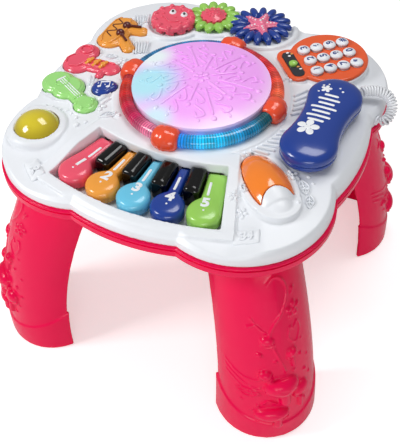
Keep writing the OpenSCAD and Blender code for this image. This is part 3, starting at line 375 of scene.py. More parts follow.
class Relief:
    """Raised lines and drops on a surface, gathered into one closed piece."""

    ARC = 6
    DOME = ((1.0, 0.0), (0.93, 0.37), (0.78, 0.63), (0.55, 0.84), (0.28, 0.96))
    END_REACHES, END_SHARES = (0.97, 0.75, 0.4), (0.24, 0.66, 0.92)

    def __init__(self, place, sink=0.4):
        self.place = place
        self.sink = sink
        self.verts, self.faces = [], []

    def _ring(self, points):
        """Keeps a ring of points and gives their numbers."""
        start = len(self.verts)
        self.verts += points
        return list(range(start, start + len(points)))

    def _bridge(self, rings, closed):
        """Joins a row of rings with faces, and caps its two ends unless it runs round."""
        pairs = list(zip(rings, rings[1:] + rings[:1])) if closed else list(zip(rings, rings[1:]))
        for a, b in pairs:
            n = len(a)
            for k in range(n):
                self.faces.append((a[k], a[(k + 1) % n], b[(k + 1) % n], b[k]))
        if not closed:
            self.faces.append(tuple(reversed(rings[0])))
            self.faces.append(tuple(rings[-1]))

    def _route(self, points, width, closed, step):
        """The middle of a line: smooth through its points or straight between two, with its ends."""
        pts = [Vector((p[0], p[1], 0)) for p in points]
        if closed:
            return smooth_route(pts + pts[:1], step or width * 0.6)[:-1]
        if len(pts) > 2:
            route = smooth_route(pts, step or width * 0.6)
        else:
            count = max(2, math.ceil((pts[1] - pts[0]).length / (step or 3)))
            route = [pts[0].lerp(pts[1], k / count) for k in range(count + 1)]
        first, last = (route[0] - route[1]).normalized(), (route[-1] - route[-2]).normalized()
        ends = [0.5 * width * reach for reach in self.END_REACHES]
        return ([route[0] + first * e for e in ends] + route
                + [route[-1] + last * e for e in reversed(ends)])

    def line(self, points, width, height, closed=False, step=None):
        """A raised line with a rounded back and rounded ends."""
        route = self._route(points, width, closed, step)
        rings = []
        total = len(route)
        for i, p in enumerate(route):
            before = route[i - 1] if closed or i else p
            after = route[(i + 1) % total] if closed or i < total - 1 else p
            ahead = (after - before).normalized()
            aside = Vector((-ahead.y, ahead.x, 0))
            from_end = min(i, total - 1 - i)
            share = 1.0 if closed or from_end >= len(self.END_SHARES) else self.END_SHARES[from_end]
            ring = []
            for j in range(self.ARC + 1):
                angle = math.pi * j / self.ARC
                q = p - aside * (math.cos(angle) * width / 2 * share)
                lift = math.sin(angle) * height * share if 0 < j < self.ARC else -self.sink
                ring.append(self.place(q.x, q.y, lift))
            rings.append(self._ring(ring))
        self._bridge(rings, closed)

    def drop(self, at, length, width, height, turn=0.0, point=0.0, sides=18):
        """A raised oval; point narrows its far end, as in a leaf or a petal."""
        c, s = math.cos(turn), math.sin(turn)
        rings = []
        for share, lift in ((1.0, -self.sink),) + self.DOME:
            ring = []
            for k in range(sides):
                angle = 2 * math.pi * k / sides
                x = math.cos(angle)
                y = math.sin(angle) * (1 - point * (x + 1) / 2)
                x, y = x * share * length / 2, y * share * width / 2
                ring.append(self.place(at[0] + c * x - s * y, at[1] + s * x + c * y, lift * height))
            rings.append(self._ring(ring))
        self._bridge(rings, False)

    def flower(self, at, petals, reach, size, height, turn=0.0):
        """Petals round a middle drop."""
        for k in range(petals):
            angle = turn + 2 * math.pi * k / petals
            self.drop(spot_round(at, reach, angle), size * 1.3, size, height, angle)
        self.drop(at, size * 0.8, size * 0.8, height * 1.2)

    def leaf(self, at, length, width, height, turn):
        """A leaf outline with its middle rib and side veins."""
        c, s = math.cos(turn), math.sin(turn)

        def spot(x, y):
            return at[0] + c * x - s * y, at[1] + s * x + c * y
        edge = [(-0.5, 0), (-0.25, 0.4), (0.1, 0.5), (0.5, 0), (0.1, -0.5), (-0.25, -0.4)]
        self.line([spot(x * length, y * width) for x, y in edge], 1.6, height, closed=True)
        self.line([spot(-0.5 * length, 0), spot(0.4 * length, 0)], 1.4, height)
        for x in (-0.2, 0.05):
            for y in (-0.3, 0.3):
                self.line([spot(x * length, 0), spot((x + 0.16) * length, y * width)], 1.1, height * 0.8)

    def piece(self, name, material, body, slot):
        """Makes what was raised so far a piece of its own."""
        made = new_piece(name, self.verts, self.faces, material)
        face_outwards(made.data)
        finish_piece(made, body, slot)


# ---- materials ----

def paint(code, alpha=1.0):
    """A colour written as #rrggbb, in the linear values that shaders take."""
    def linear(c):
        return c / 12.92 if c <= 0.04045 else ((c + 0.055) / 1.055) ** 2.4
    return tuple(linear(int(code[i:i + 2], 16) / 255) for i in (1, 3, 5)) + (alpha,)


def add_node(tree, kind, **settings):
    """A new node in a tree, with its settings."""
    node = tree.nodes.new(kind)
    for key, value in settings.items():
        setattr(node, key, value)
    return node


def open_sockets(tree, inputs, outputs):
    """Gives a node group its named inputs, with the values they start from, and its outputs."""
    for name, kind, value in inputs:
        socket = tree.interface.new_socket(name=name, in_out="INPUT", socket_type=kind)
        if value is not None:
            socket.default_value = value
    for name, kind in outputs:
        tree.interface.new_socket(name=name, in_out="OUTPUT", socket_type=kind)


COLOR_SOCKET, FLOAT_SOCKET, VECTOR_SOCKET = "NodeSocketColor", "NodeSocketFloat", "NodeSocketVector"
SKIN_INPUTS = (("Color", COLOR_SOCKET, (0.8, 0.8, 0.8, 1)), ("Clouding", FLOAT_SOCKET, 0.05),
               ("Cloud Scale", FLOAT_SOCKET, 30), ("Roughness", FLOAT_SOCKET, 0.25),
               ("Gloss Spread", FLOAT_SOCKET, 0.1), ("Grain Scale", FLOAT_SOCKET, 1400),
               ("Grain Depth", FLOAT_SOCKET, 0.05))
SKIN_OUTPUTS = (("Color", COLOR_SOCKET), ("Roughness", FLOAT_SOCKET), ("Normal", VECTOR_SOCKET))


def build_moulded_skin():
    """Moulded plastic: faint clouding of the colour, uneven gloss and a fine grain."""
    tree = bpy.data.node_groups.new("moulded_skin", "ShaderNodeTree")
    open_sockets(tree, SKIN_INPUTS, SKIN_OUTPUTS)
    given, result = add_node(tree, "NodeGroupInput"), add_node(tree, "NodeGroupOutput")
    coords = add_node(tree, "ShaderNodeTexCoord")
    cloud = add_node(tree, "ShaderNodeTexNoise")
    cloud.inputs["Detail"].default_value = 4
    grain = add_node(tree, "ShaderNodeTexNoise")
    grain.inputs["Detail"].default_value = 2
    centred = add_node(tree, "ShaderNodeMath", operation="SUBTRACT")
    centred.inputs[1].default_value = 0.5
    swing = add_node(tree, "ShaderNodeMath", operation="MULTIPLY")
    value = add_node(tree, "ShaderNodeMath", operation="ADD")
    value.inputs[1].default_value = 1.0
    shade = add_node(tree, "ShaderNodeHueSaturation")
    gloss = add_node(tree, "ShaderNodeMath", operation="MULTIPLY_ADD")
    bump = add_node(tree, "ShaderNodeBump")
    bump.inputs["Distance"].default_value = 0.0002
    links = tree.links
    for noise, scale in ((cloud, "Cloud Scale"), (grain, "Grain Scale")):
        links.new(coords.outputs["Object"], noise.inputs["Vector"])
        links.new(given.outputs[scale], noise.inputs["Scale"])
    links.new(cloud.outputs["Fac"], centred.inputs[0])
    links.new(centred.outputs[0], swing.inputs[0])
    links.new(given.outputs["Clouding"], swing.inputs[1])
    links.new(swing.outputs[0], value.inputs[0])
    links.new(given.outputs["Color"], shade.inputs["Color"])
    links.new(value.outputs[0], shade.inputs["Value"])
    links.new(centred.outputs[0], gloss.inputs[0])
    links.new(given.outputs["Gloss Spread"], gloss.inputs[1])
    links.new(given.outputs["Roughness"], gloss.inputs[2])
    links.new(given.outputs["Grain Depth"], bump.inputs["Strength"])
    links.new(grain.outputs["Fac"], bump.inputs["Height"])
    links.new(shade.outputs["Color"], result.inputs["Color"])
    links.new(gloss.outputs[0], result.inputs["Roughness"])
    links.new(bump.outputs["Normal"], result.inputs["Normal"])
    return tree


moulded_skin = build_moulded_skin()


def shader(name, color, skin, coat=0.35, metallic=0.0, specular=0.5):
    """A material whose colour, gloss and grain come from the moulded skin group."""
    material = bpy.data.materials.new(name)
    material.use_nodes = True
    tree = material.node_tree
    surface = tree.nodes["Principled BSDF"]
    finish = add_node(tree, "ShaderNodeGroup", node_tree=moulded_skin)
    finish.inputs["Color"].default_value = color
    for key, value in skin.items():
        finish.inputs[key].default_value = value
    for output, target in (("Color", "Base Color"), ("Roughness", "Roughness"), ("Normal", "Normal")):
        tree.links.new(finish.outputs[output], surface.inputs[target])
    surface.inputs["Coat Weight"].default_value = coat
    surface.inputs["Coat Roughness"].default_value = 0.06
    surface.inputs["Metallic"].default_value = metallic
    surface.inputs["Specular IOR Level"].default_value = specular
    return material


def gloss_plastic(name, code, roughness=0.22, **extra):
    """Shiny moulded plastic."""
    skin = {"Roughness": roughness, "Clouding": 0.05, "Gloss Spread": 0.08, "Grain Depth": 0.04}
    return shader(name, paint(code), skin, **extra)


def matte_plastic(name, code):
    """Dull plastic or board with a coarser grain."""
    skin = {"Roughness": 0.55, "Clouding": 0.12, "Gloss Spread": 0.2, "Grain Depth": 0.25,
            "Grain Scale": 700}
    return shader(name, paint(code), skin, coat=0.0)


def metal(name, code, roughness):
    """Plated metal with uneven gloss."""
    skin = {"Roughness": roughness, "Clouding": 0.15, "Gloss Spread": 0.25, "Grain Depth": 0.1}
    return shader(name, paint(code), skin, coat=0.0, metallic=1.0)


def ink(name, code):
    """Printed ink: matter than the plastic under it, and a little uneven."""
    return shader(name, paint(code), {"Roughness": 0.4, "Clouding": 0.08, "Gloss Spread": 0.15}, coat=0.1)


WHITE = gloss_plastic("white_satin", "#eef1f6", roughness=0.36, coat=0.08)
PINK = gloss_plastic("deep_pink", "#f2004e", coat=0.08, specular=0.2)
ORANGE = gloss_plastic("keypad_orange", "#f05f2c")
BLACK = gloss_plastic("piano_black", "#030304", roughness=0.1, coat=0.0)
BLUE = gloss_plastic("royal_blue", "#153c96", coat=0.5)
CORAL = gloss_plastic("coral", "#f2566f")
AMBER = gloss_plastic("amber", "#f4a23e")
SKY = gloss_plastic("sky_blue", "#6cc9ea")
LIME = gloss_plastic("lime_green", "#9bd35c")
PALE_GREEN = gloss_plastic("pale_green", "#a2e383")
ROSE = gloss_plastic("rose", "#f2789a")
MAROON = gloss_plastic("dark_red", "#5c1c14")
SMOKE = gloss_plastic("smoked_window", "#23262e", coat=0.6)
DARK = matte_plastic("dark_grey", "#26262b")
BOARD = matte_plastic("board_green", "#1c6b42")
STEEL = metal("plated_steel", "#a2a5aa", 0.3)
CELL = metal("cell_wrap", "#c2a04a", 0.35)
INK_WHITE = ink("white_ink", "#f4f6fa")
INK_BLUE = ink("blue_ink", "#0f3484")
INK_BLACK = ink("black_ink", "#15151a")


def distance_mask(tree, place, zero_at, one_at):
    """A mask by the distance from a place, in metres: 0 at one distance and 1 at another."""
    coords = add_node(tree, "ShaderNodeTexCoord")
    apart = add_node(tree, "ShaderNodeVectorMath", operation="DISTANCE")
    apart.inputs[1].default_value = place
    tree.links.new(coords.outputs["Object"], apart.inputs[0])
    mask = add_node(tree, "ShaderNodeMapRange", interpolation_type="SMOOTHSTEP")
    mask.inputs["From Min"].default_value = zero_at
    mask.inputs["From Max"].default_value = one_at
    tree.links.new(apart.outputs["Value"], mask.inputs["Value"])
    return mask.outputs["Result"]


def tint_where(tree, base, mask, code):
    """Mixes a colour in where the mask says so."""
    mix = add_node(tree, "ShaderNodeMix", data_type="RGBA")
    tree.links.new(mask, mix.inputs["Factor"])
    tree.links.new(base, mix.inputs[6])
    mix.inputs[7].default_value = paint(code)
    return mix.outputs[2]


def skin_colour(tree):
    """The colour that comes out of a material's moulded skin group."""
    return next(n for n in tree.nodes if n.type == "GROUP").outputs["Color"]


def glowing(material, colour, strength):
    """Gives a material a colour and a glow of the same colour."""
    tree = material.node_tree
    surface = tree.nodes["Principled BSDF"]
    tree.links.new(colour, surface.inputs["Base Color"])
    tree.links.new(colour, surface.inputs["Emission Color"])
    surface.inputs["Emission Strength"].default_value = strength
    return material


# Painted highlights on the drum's skin, as pale spots of reflected light: place, radius, soft width and
# colour
PAINTED_HIGHLIGHTS_ON_DRUM = (((-0.050, -0.020, 0.306), 0.012, 0.036, "#b4e8f6"),
              ((-0.066, 0.024, 0.304), 0.006, 0.026, "#eefafd"),
              ((-0.018, -0.064, 0.304), 0.004, 0.022, "#d4eefb"))


def drum_skin_material():
    """Milky lilac plastic, paler towards its rim, with painted highlights in pale blue and white and a
    faint painted glow.
    """
    material = shader("drum_skin", paint("#f7aafc"), {"Roughness": 0.3, "Clouding": 0.04}, coat=0.3)
    tree = material.node_tree
    rim = distance_mask(tree, (-0.006, 0.012, 0.309), 0.060, 0.094)
    colour = tint_where(tree, skin_colour(tree), rim, "#fbe2fb")
    # painted highlights: pale soft spots laid into the skin's colour
    for place, radius, softness, code in PAINTED_HIGHLIGHTS_ON_DRUM:
        colour = tint_where(tree, colour, distance_mask(tree, place, radius + softness, radius), code)
    # a faint painted glow in the skin's own colour
    return glowing(material, colour, 0.06)


# Colours round the light ring by their place in the turn, which starts at the ring's left side
RING_COLOURS = ((0.0, "#8a0f4a"), (0.05, "#c0280c"), (0.10, "#b80c1c"), (0.17, "#b01850"),
                (0.235, "#e887ac"), (0.255, "#0a2fc8"), (0.33, "#10c4f4"), (0.40, "#0c88c0"),
                (0.46, "#06525c"), (0.495, "#042c30"), (0.505, "#ef7040"), (0.56, "#e85a38"),
                (0.64, "#dc2430"), (0.74, "#a82838"), (0.76, "#3c60a8"), (0.84, "#2a80b8"),
                (0.985, "#1c6088"))
RING_RIBS, RING_LAMPS = 180, 26


def angle_round_drum(tree):
    """The angle round the drum's middle, from -pi to pi."""
    coords = add_node(tree, "ShaderNodeTexCoord")
    centre = add_node(tree, "ShaderNodeMapping")
    centre.inputs["Location"].default_value = (0, -DRUM_Y * MM, 0)
    tree.links.new(coords.outputs["Object"], centre.inputs["Vector"])
    axes = add_node(tree, "ShaderNodeSeparateXYZ")
    tree.links.new(centre.outputs["Vector"], axes.inputs[0])
    angle = add_node(tree, "ShaderNodeMath", operation="ARCTAN2")
    tree.links.new(axes.outputs["Y"], angle.inputs[0])
    tree.links.new(axes.outputs["X"], angle.inputs[1])
    return angle.outputs[0]


def colours_round(tree, angle, stops):
    """A colour for each angle, mixed between stops."""
    share = add_node(tree, "ShaderNodeMapRange")
    share.inputs["From Min"].default_value = -math.pi
    share.inputs["From Max"].default_value = math.pi
    tree.links.new(angle, share.inputs["Value"])
    ramp = add_node(tree, "ShaderNodeValToRGB")
    for position, code in stops[:-1]:
        stop = ramp.color_ramp.elements.new(position)
        stop.color = paint(code)
    ramp.color_ramp.elements[-1].color = paint(stops[-1][1])
    ramp.color_ramp.elements[-1].position = stops[-1][0]
    tree.links.new(share.outputs["Result"], ramp.inputs["Fac"])
    return ramp.outputs["Color"]


def waves_round(tree, angle, count, low, high, start=-1.0, blend="LINEAR"):
    """A brightness that swings from low to high so many times in a turn."""
    wave = add_node(tree, "ShaderNodeMath", operation="MULTIPLY")
    wave.inputs[1].default_value = count
    tree.links.new(angle, wave.inputs[0])
    swing = add_node(tree, "ShaderNodeMath", operation="SINE")
    tree.links.new(wave.outputs[0], swing.inputs[0])
    level = add_node(tree, "ShaderNodeMapRange", interpolation_type=blend)
    level.inputs["From Min"].default_value = start
    level.inputs["To Min"].default_value = low
    level.inputs["To Max"].default_value = high
    tree.links.new(swing.outputs[0], level.inputs["Value"])
    return level.outputs["Result"]


def ring_material():
    """A clear tube over a strip of lamps: the colour runs round the ring, with ribs inside."""
    material = shader("lit_ring", paint("#30b8d8"), {"Roughness": 0.16, "Clouding": 0.1}, coat=0.35)
    tree = material.node_tree
    angle = angle_round_drum(tree)
    colour = colours_round(tree, angle, RING_COLOURS)
    both = add_node(tree, "ShaderNodeMath", operation="MULTIPLY")
    tree.links.new(waves_round(tree, angle, RING_RIBS, 0.45, 1.0), both.inputs[0])
    lamps = waves_round(tree, angle, RING_LAMPS, 0.75, 1.1, start=-0.6, blend="SMOOTHSTEP")
    tree.links.new(lamps, both.inputs[1])
    ribbed = add_node(tree, "ShaderNodeMix", data_type="RGBA", blend_type="MULTIPLY")
    ribbed.inputs["Factor"].default_value = 1.0
    tree.links.new(colour, ribbed.inputs[6])
    tree.links.new(both.outputs[0], ribbed.inputs[7])
    return glowing(material, ribbed.outputs[2], 0.6)


def tinted_clear(name, code, deep, place, reach):
    """Tinted clear plastic: deeper in colour towards its rim, with a faint painted glow in place of light
    passing through it.
    """
    skin = {"Roughness": 0.14, "Clouding": 0.08, "Grain Depth": 0.02}
    material = shader(name, paint(code), skin, coat=0.9)
    tree = material.node_tree
    rim = distance_mask(tree, place, reach * 0.45, reach)
    # a faint painted glow of the plastic's colour, standing in for light through the clear plastic
    return glowing(material, tint_where(tree, skin_colour(tree), rim, deep), 0.08)


DRUM_SKIN = drum_skin_material()
LIT_RING = ring_material()
YELLOW = tinted_clear("yellow_dome", "#d2bf24", "#b09c08", (-0.1405, -0.104, 0.292), 0.026)
EGG = tinted_clear("orange_egg", "#f58220", "#e8640c", (0.108, -0.082, 0.290), 0.045)

finish_of = {
    "white_plastic": WHITE, "pink_plastic": PINK, "ring_plastic": LIT_RING, "circuit_board": BOARD,
    "orange_plastic": ORANGE, "drum_plastic": DRUM_SKIN, "spring_steel": STEEL, "black_plastic": BLACK,
    "yellow_plastic": YELLOW, "orange_clear_plastic": EGG, "pale_green_plastic": PALE_GREEN,
    "coral_plastic": CORAL, "amber_plastic": AMBER, "maroon_plastic": MAROON, "blue_plastic": BLUE,
    "sky_plastic": SKY, "green_plastic": LIME, "rose_plastic": ROSE, "window_plastic": SMOKE,
    "dark_plastic": DARK, "cell_metal": CELL, "screw_steel": STEEL,
}


def paint_nodes():
    """Gives each CAD node the finish of its material slot."""
    for node, carried in nodes.items():
        carried.data.materials.clear()
        carried.data.materials.append(finish_of[slot_of[node]])


paint_nodes()


# ---- the curly cord ----

# The wire's and the coil's radius, the way from turn to turn, how far a bend opens it, the straight
# run that eases into the coil, and how far the wire goes on inside the grommet
WIRE_R, COIL_R, COIL_PITCH = 1.4, 4.6, 2.9
TIGHTEST, OPENING = 0.09, 0.15
TAIL, HIDDEN_END = 7.0, 6.0
ROUTE_STEP, STEPS_A_TURN = 0.25, 18


def bend_of(route, run, i, reach=10):
    """How sharply a route bends near a point: turn in radians per millimetre."""
    a, b = max(i - reach, 0), min(i + reach, len(route) - 1)
    before = (route[i] - route[a]) if i > a else route[i + 1] - route[i]
    after = (route[b] - route[i]) if b > i else route[i] - route[i - 1]
    return before.angle(after) / max(0.5 * (run[b] - run[a]), 0.1)


def coil_frames(route, run, coil_end):
    """Along the middle line: each point, two directions across it, the coil's radius and its turn."""
    side, turn, frames = None, 0.0, []
    for i, p in enumerate(route):
        ahead = (route[min(i + 1, len(route) - 1)] - route[max(i - 1, 0)]).normalized()
        if side is None:
            side = Vector((0, 0, 1)).cross(ahead).normalized()
        side = (side - ahead * side.dot(ahead)).normalized()
        share = min(1.0, max(0.0, run[i] / TAIL), max(0.0, (coil_end - run[i]) / TAIL))
        frames.append((p, side, ahead.cross(side), COIL_R * eased(share), turn))
        if i < len(route) - 1:
            pitch = COIL_PITCH / (1 - OPENING * min(bend_of(route, run, i), TIGHTEST) * COIL_R)
            turn += 2 * math.pi * (run[i + 1] - run[i]) / pitch
    return frames


def curl_cord():
    """Winds the wire round the cord's middle line, easing into a straight tail at each end."""
    inward = -Vector(GROMMET_AXIS)
    points = CORD_POINTS + [tuple(Vector(CORD_POINTS[-1]) + inward * HIDDEN_END)]
    route = smooth_route(points, ROUTE_STEP)
    run = [0.0]
    for a, b in zip(route, route[1:]):
        run.append(run[-1] + (b - a).length)
    frames = coil_frames(route, run, run[-1] - HIDDEN_END)
    line = []
    for (p, s, o, r, t), (q, s2, o2, r2, t2) in zip(frames, frames[1:]):
        steps = max(1, math.ceil((t2 - t) / (2 * math.pi / STEPS_A_TURN)))
        for k in range(steps):
            f = k / steps
            a = t + (t2 - t) * f
            base, u, v = p.lerp(q, f), s.lerp(s2, f), o.lerp(o2, f)
            line.append((base + (r + (r2 - r) * f) * (math.cos(a) * u + math.sin(a) * v)) * MM)
    line.append(route[-1] * MM)
    return line


def lay_cord():
    """The curly cord, running from the handset's socket to the deck's grommet."""
    line = curl_cord()
    cord_length = sum((b - a).length for a, b in zip(line, line[1:]))
    sleeve = gloss_plastic("cord_sleeve", "#eceef2", coat=0.2)
    cord = new_piece("curly_cord", *tube(line, WIRE_R * MM, 8), sleeve)
    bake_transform(cord)
    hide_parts("phone_cord")
    [tuple(p) for p in line]


lay_cord()


# ---- moulded pieces: CAD solids with the soft edges that a mould leaves ----

def fused(parts, voxel, passes, triangles):
    """The smoothed union of closed parts that may overlap, with so many triangles at most."""
    verts, faces = gathered(parts)
    mesh = bpy.data.meshes.new("fused")
    mesh.from_pydata([tuple(v) for v in verts], [], faces)
    carrier = link(bpy.data.objects.new("fused", mesh))
    voxels = carrier.modifiers.new("voxels", "REMESH")
    voxels.mode = "VOXEL"
    voxels.voxel_size = voxel * MM
    easing = carrier.modifiers.new("easing", "SMOOTH")
    easing.iterations = passes
    bake(carrier)
    count = 2 * len(carrier.data.polygons)
    if count > triangles:
        thinner = carrier.modifiers.new("thinner", "DECIMATE")
        thinner.ratio = triangles / count
        bake(carrier)
    result = carrier.data
    bpy.data.objects.remove(carrier)
    for face in result.polygons:
        face.use_smooth = True
    return result


def form_of(mesh, turn=0.0):
    """A mesh as vertices and faces, turned about the upright axis."""
    spin = Matrix.Rotation(turn, 3, "Z")
    return [spin @ v.co for v in mesh.vertices], [tuple(face.vertices) for face in mesh.polygons]


def softened(names, voxel, passes, triangles, added=()):
    """One piece from CAD nodes of the same body and forms added to them, with rounded edges."""
    source = nodes[names[0]]
    mesh = fused([form_of(nodes[each].data) for each in names] + list(added), voxel, passes, triangles)
    mesh.materials.clear()
    mesh.materials.append(source.data.materials[0])
    piece = link(bpy.data.objects.new(names[0] + "_moulded", mesh))
    return finish_piece(piece, source["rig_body"], slot_of[names[0]], names)


DISH_CIRCLES = ((STAR_AT, 42.0), (FLOWER_AT, 36.0), (ANIMAL_AT, 33.5))
RIM_WIDTH, RIM_HEIGHT, RIM_STEP = 9.0, 4.2, 2.5
RIM_OVERLAP, RIM_FLOOR, RIM_CLEAR_OF_DRUM = 1.5, 278.0, 96.0


def rim_stands(p, at):
    """Whether the wall round one gear runs through a point: outside the other gears' dishes, on the
    deck's upper side and clear of the drum."""
    free = all(math.dist(p, c) > r - RIM_OVERLAP for c, r in DISH_CIRCLES if c != at)
    return free and deck_z(*p) > RIM_FLOOR and math.dist(p, (0, DRUM_Y)) > RIM_CLEAR_OF_DRUM


def dish_rim():
    """The raised wall that follows the three gears."""
    work = Relief(on_deck)
    for at, radius in DISH_CIRCLES:
        runs = [[]]
        for degrees in range(0, 361, 4):
            p = spot_round(at, radius, math.radians(degrees))
            if rim_stands(p, at):
                runs[-1].append(p)
            else:
                runs.append([])
        for run in runs:
            if len(run) > 2:
                work.line(run, RIM_WIDTH, RIM_HEIGHT, step=RIM_STEP)
    return work.verts, work.faces


def moulded_shell():
    """The white deck with soft edges, the gears' wall and the fall before the piano."""
    shell = softened(["top_shell"], voxel=0.95, passes=4, triangles=190000, added=[dish_rim()])
    for vertex in shell.data.vertices:
        x, y, z = vertex.co / MM
        vertex.co.z -= skin_fall(x, y, z) * MM
    return shell


shell = moulded_shell()
guitar, trumpet, snare, mode_knob = [
    softened([node], voxel=0.6, passes=8, triangles=24000)
    for node in ("guitar_button", "trumpet_button", "drum_button", "mode_button")]
softened(["trumpet_valves"], voxel=0.4, passes=4, triangles=8000)
softened(["drum_sticks"], voxel=0.35, passes=3, triangles=12000)
softened(["keypad_panel"], voxel=0.7, passes=4, triangles=30000)


# ---- legs: the CAD form with its raised work set where the mould has it ----

LEG_RING = LEG_ARC + LEG_DEPTH - LEG_HALF
# The leg's inner side at the floor, and its boot: how far it stands out, the heights of its edge
# inside and outside, and the little that is left of the step's rounding above that edge
LEG_IN, BOOT_STEP, BOOT_HIGH, BOOT_LOW, BOOT_ROUND = 198.0, 2.0, 57.0, 26.0, 0.8


def plain_leg():
    """The CAD leg turned to point along +X, with the bumps on its outside pressed flat."""
    verts, faces = form_of(nodes["leg_front_right"].data, math.pi / 4)
    mesh = fused([(verts, faces)], voxel=1.1, passes=0, triangles=400000)
    fall = (BOOT_HIGH - BOOT_LOW) / (LEG_DEPTH + 4)
    c, s = math.cos(LEG_LEAN), math.sin(LEG_LEAN)
    for vertex in mesh.vertices:
        x, y, z = vertex.co / MM
        flat, height = abs(y) * c + z * s, z * c - abs(y) * s
        reach, rise = math.hypot(x - LEG_CU, height), math.atan2(height, x - LEG_CU)
        out = reach - LEG_RING
        radial = math.hypot(out, flat)
        edge = BOOT_HIGH - fall * (x - LEG_IN) + BOOT_ROUND
        limit = LEG_HALF + (BOOT_STEP if z < edge else 0)
        if out > 0 and radial > limit:
            share = limit / radial
            reach, flat = LEG_RING + out * share, flat * share
            height = reach * math.sin(rise)
            vertex.co = Vector((LEG_CU + reach * math.cos(rise),
                                math.copysign(flat * c - height * s, y), flat * s + height * c)) * MM
    return form_of(mesh)


# Raised work on a leg, in mm across it and above the floor
# Caps of mushrooms: middle, length, width and height
LEG_CAPS = (((-3, 92), 38, 25, 11), ((-14, 48), 38, 19, 9), ((19, 76), 20, 19, 7),
            ((-19, 110), 14, 13, 7), ((10, 134), 12, 11, 6), ((-14, 154), 14, 11, 4.5))
# Their stems: two ends, width and height
LEG_STEMS = (((-1, 80), (0, 68), 13, 7), ((-8, 40), (-8, 27), 10, 6), ((18, 64), (18, 50), 7, 5),
             ((10, 127), (11, 117), 5, 3.6), ((-16, 104), (-14, 96), 6, 4))
LEG_VINE = ((2, 112), (-6, 138), (-9, 147), (-11, 161), (-5, 174), (4, 185), (10, 195), (12, 206),
            (8, 217), (0, 222), (-7, 215))
LEG_BUD = ((12, 146), (8, 154), (11, 164), (15, 160), (20, 165), (23, 155), (18, 143))
# Pebbles: middle and size
LEG_PEBBLES = ((-23, 136, 6), (-8, 128, 4.4), (21, 123, 3.6), (26, 97, 4.2), (25, 52, 3.6), (30, 66, 3),
               (31, 112, 3), (-28, 60, 4), (-34, 50, 3.4), (19, 201, 3.4), (-26, 88, 3), (24, 140, 2.6),
               (33, 84, 3.4), (12, 108, 3.6), (-42, 62, 3))


def leg_mushrooms(work):
    """Mushrooms with a rim under each cap."""
    for at, length, width, height in LEG_CAPS:
        work.drop(at, length, width, height, 0.12, sides=28)
        turns = [math.radians(200 + 14 * k) for k in range(11)]
        rim = [(at[0] + math.cos(a) * length * 0.46, at[1] - 3 + math.sin(a) * width * 0.42) for a in turns]
        work.line(rim, 2.6, height * 0.5)
    for a, b, width, height in LEG_STEMS:
        work.line([a, b], width, height)


def leg_plants(work):
    """A vine with its branch, a flower, a bud and a leaf, and ripples beside them."""
    work.line(LEG_VINE, 2.2, 1.5)
    work.line([(-11, 161), (-18, 166), (-23, 171), (-30, 167)], 2.2, 1.5)
    work.line([(-23, 171), (-26, 178)], 1.8, 1.2)
    work.flower((17, 180), 5, 5.6, 5.6, 2.2, 0.2)
    work.line(LEG_BUD, 1.8, 1.3, closed=True)
    work.leaf((-36, 78), 20, 11, 1.8, 0.3)
    work.line([(-24, 64), (-18, 70), (-10, 66)], 3.0, 2.4)
    for z, lift in ((108, 0), (100, -3), (92, -6)):
        work.line([(-50, z), (-42, z - 7), (-33, z - 9 + lift), (-25, z - 8 + lift)], 1.8, 1.2)


def leg_work():
    """All that is raised on the outside of a leg."""
    work = Relief(on_leg(0))
    leg_mushrooms(work)
    leg_plants(work)
    for y, z, size in LEG_PEBBLES:
        work.drop((y, z), size, size, size * 0.5)
    work.drop((19, 199), 8, 2.6, 1.6, 0.9)
    return work.verts, work.faces


def legs():
    """Four like legs, one to each corner."""
    form = form_of(fused([plain_leg(), leg_work()], voxel=0.9, passes=2, triangles=90000))
    for node, degrees in (("leg_front_left", -135), ("leg_front_right", -45),
                          ("leg_back_right", 45), ("leg_back_left", 135)):
        spin = Matrix.Rotation(math.radians(degrees), 3, "Z")
        piece = new_piece(f"{node}_moulded", [spin @ v for v in form[0]], form[1], PINK)
        finish_piece(piece, "table", "pink_plastic", (node,))


legs()


# ---- piano keys ----

KEY_BOTTOM, BULB_R, FAN_BACK, KEY_PIN_R = 264.0, 17.3, 244.0, 2.0
KEY_EDGE, KEY_POWER, KEY_SWELL, SWELL_RUN = 269.5, 3.4, 2.4, 26.0
SWELL_FOOT, SWELL_RISE = 268.0, 7.0
TAIL_HALF, TAIL_TOP, PIN_HALF = 5.5, 272.0, 7.9
# Distances back from the middle of a key's round end: its body's back and its hinge pin
KEY_BACK, PIN_Y = KEY_REACH - FAN_BACK - 1, KEY_REACH - 230.0


def on_fan(angle_deg):
    """On a key: x across it and y along it towards the drum, from the middle of its round end."""
    a = math.radians(angle_deg)
    along = Vector((math.sin(a), -math.cos(a), 0))
    across = Vector((math.cos(a), math.sin(a), 0))
    middle = Vector((FAN_X, FAN_Y, 0)) + along * KEY_REACH

    def place(x, y, h):
        p = middle + across * x - along * y
        return Vector((p.x, p.y, h)) * MM
    return place


def neck_half(y, straight):
    """Half width of a key at a distance y behind its round end's middle."""
    if straight:
        return (KEY_REACH - y) * math.tan(math.asin(BULB_R / KEY_REACH))
    neck = 6.9 - 1.6 * y / (KEY_REACH - FAN_BACK)
    bulb = math.sqrt(max(BULB_R ** 2 - y * y, 0))
    return 0.5 * (neck + bulb + math.sqrt((neck - bulb) ** 2 + 4)) if y > 8 else bulb


def key_rise(y, h):
    """The height of a key's skin: its top swells towards its round end."""
    lifted = min(1.0, max(0.0, (h - SWELL_FOOT) / SWELL_RISE))
    return h + KEY_SWELL * eased((SWELL_RUN - y) / SWELL_RUN) * lifted


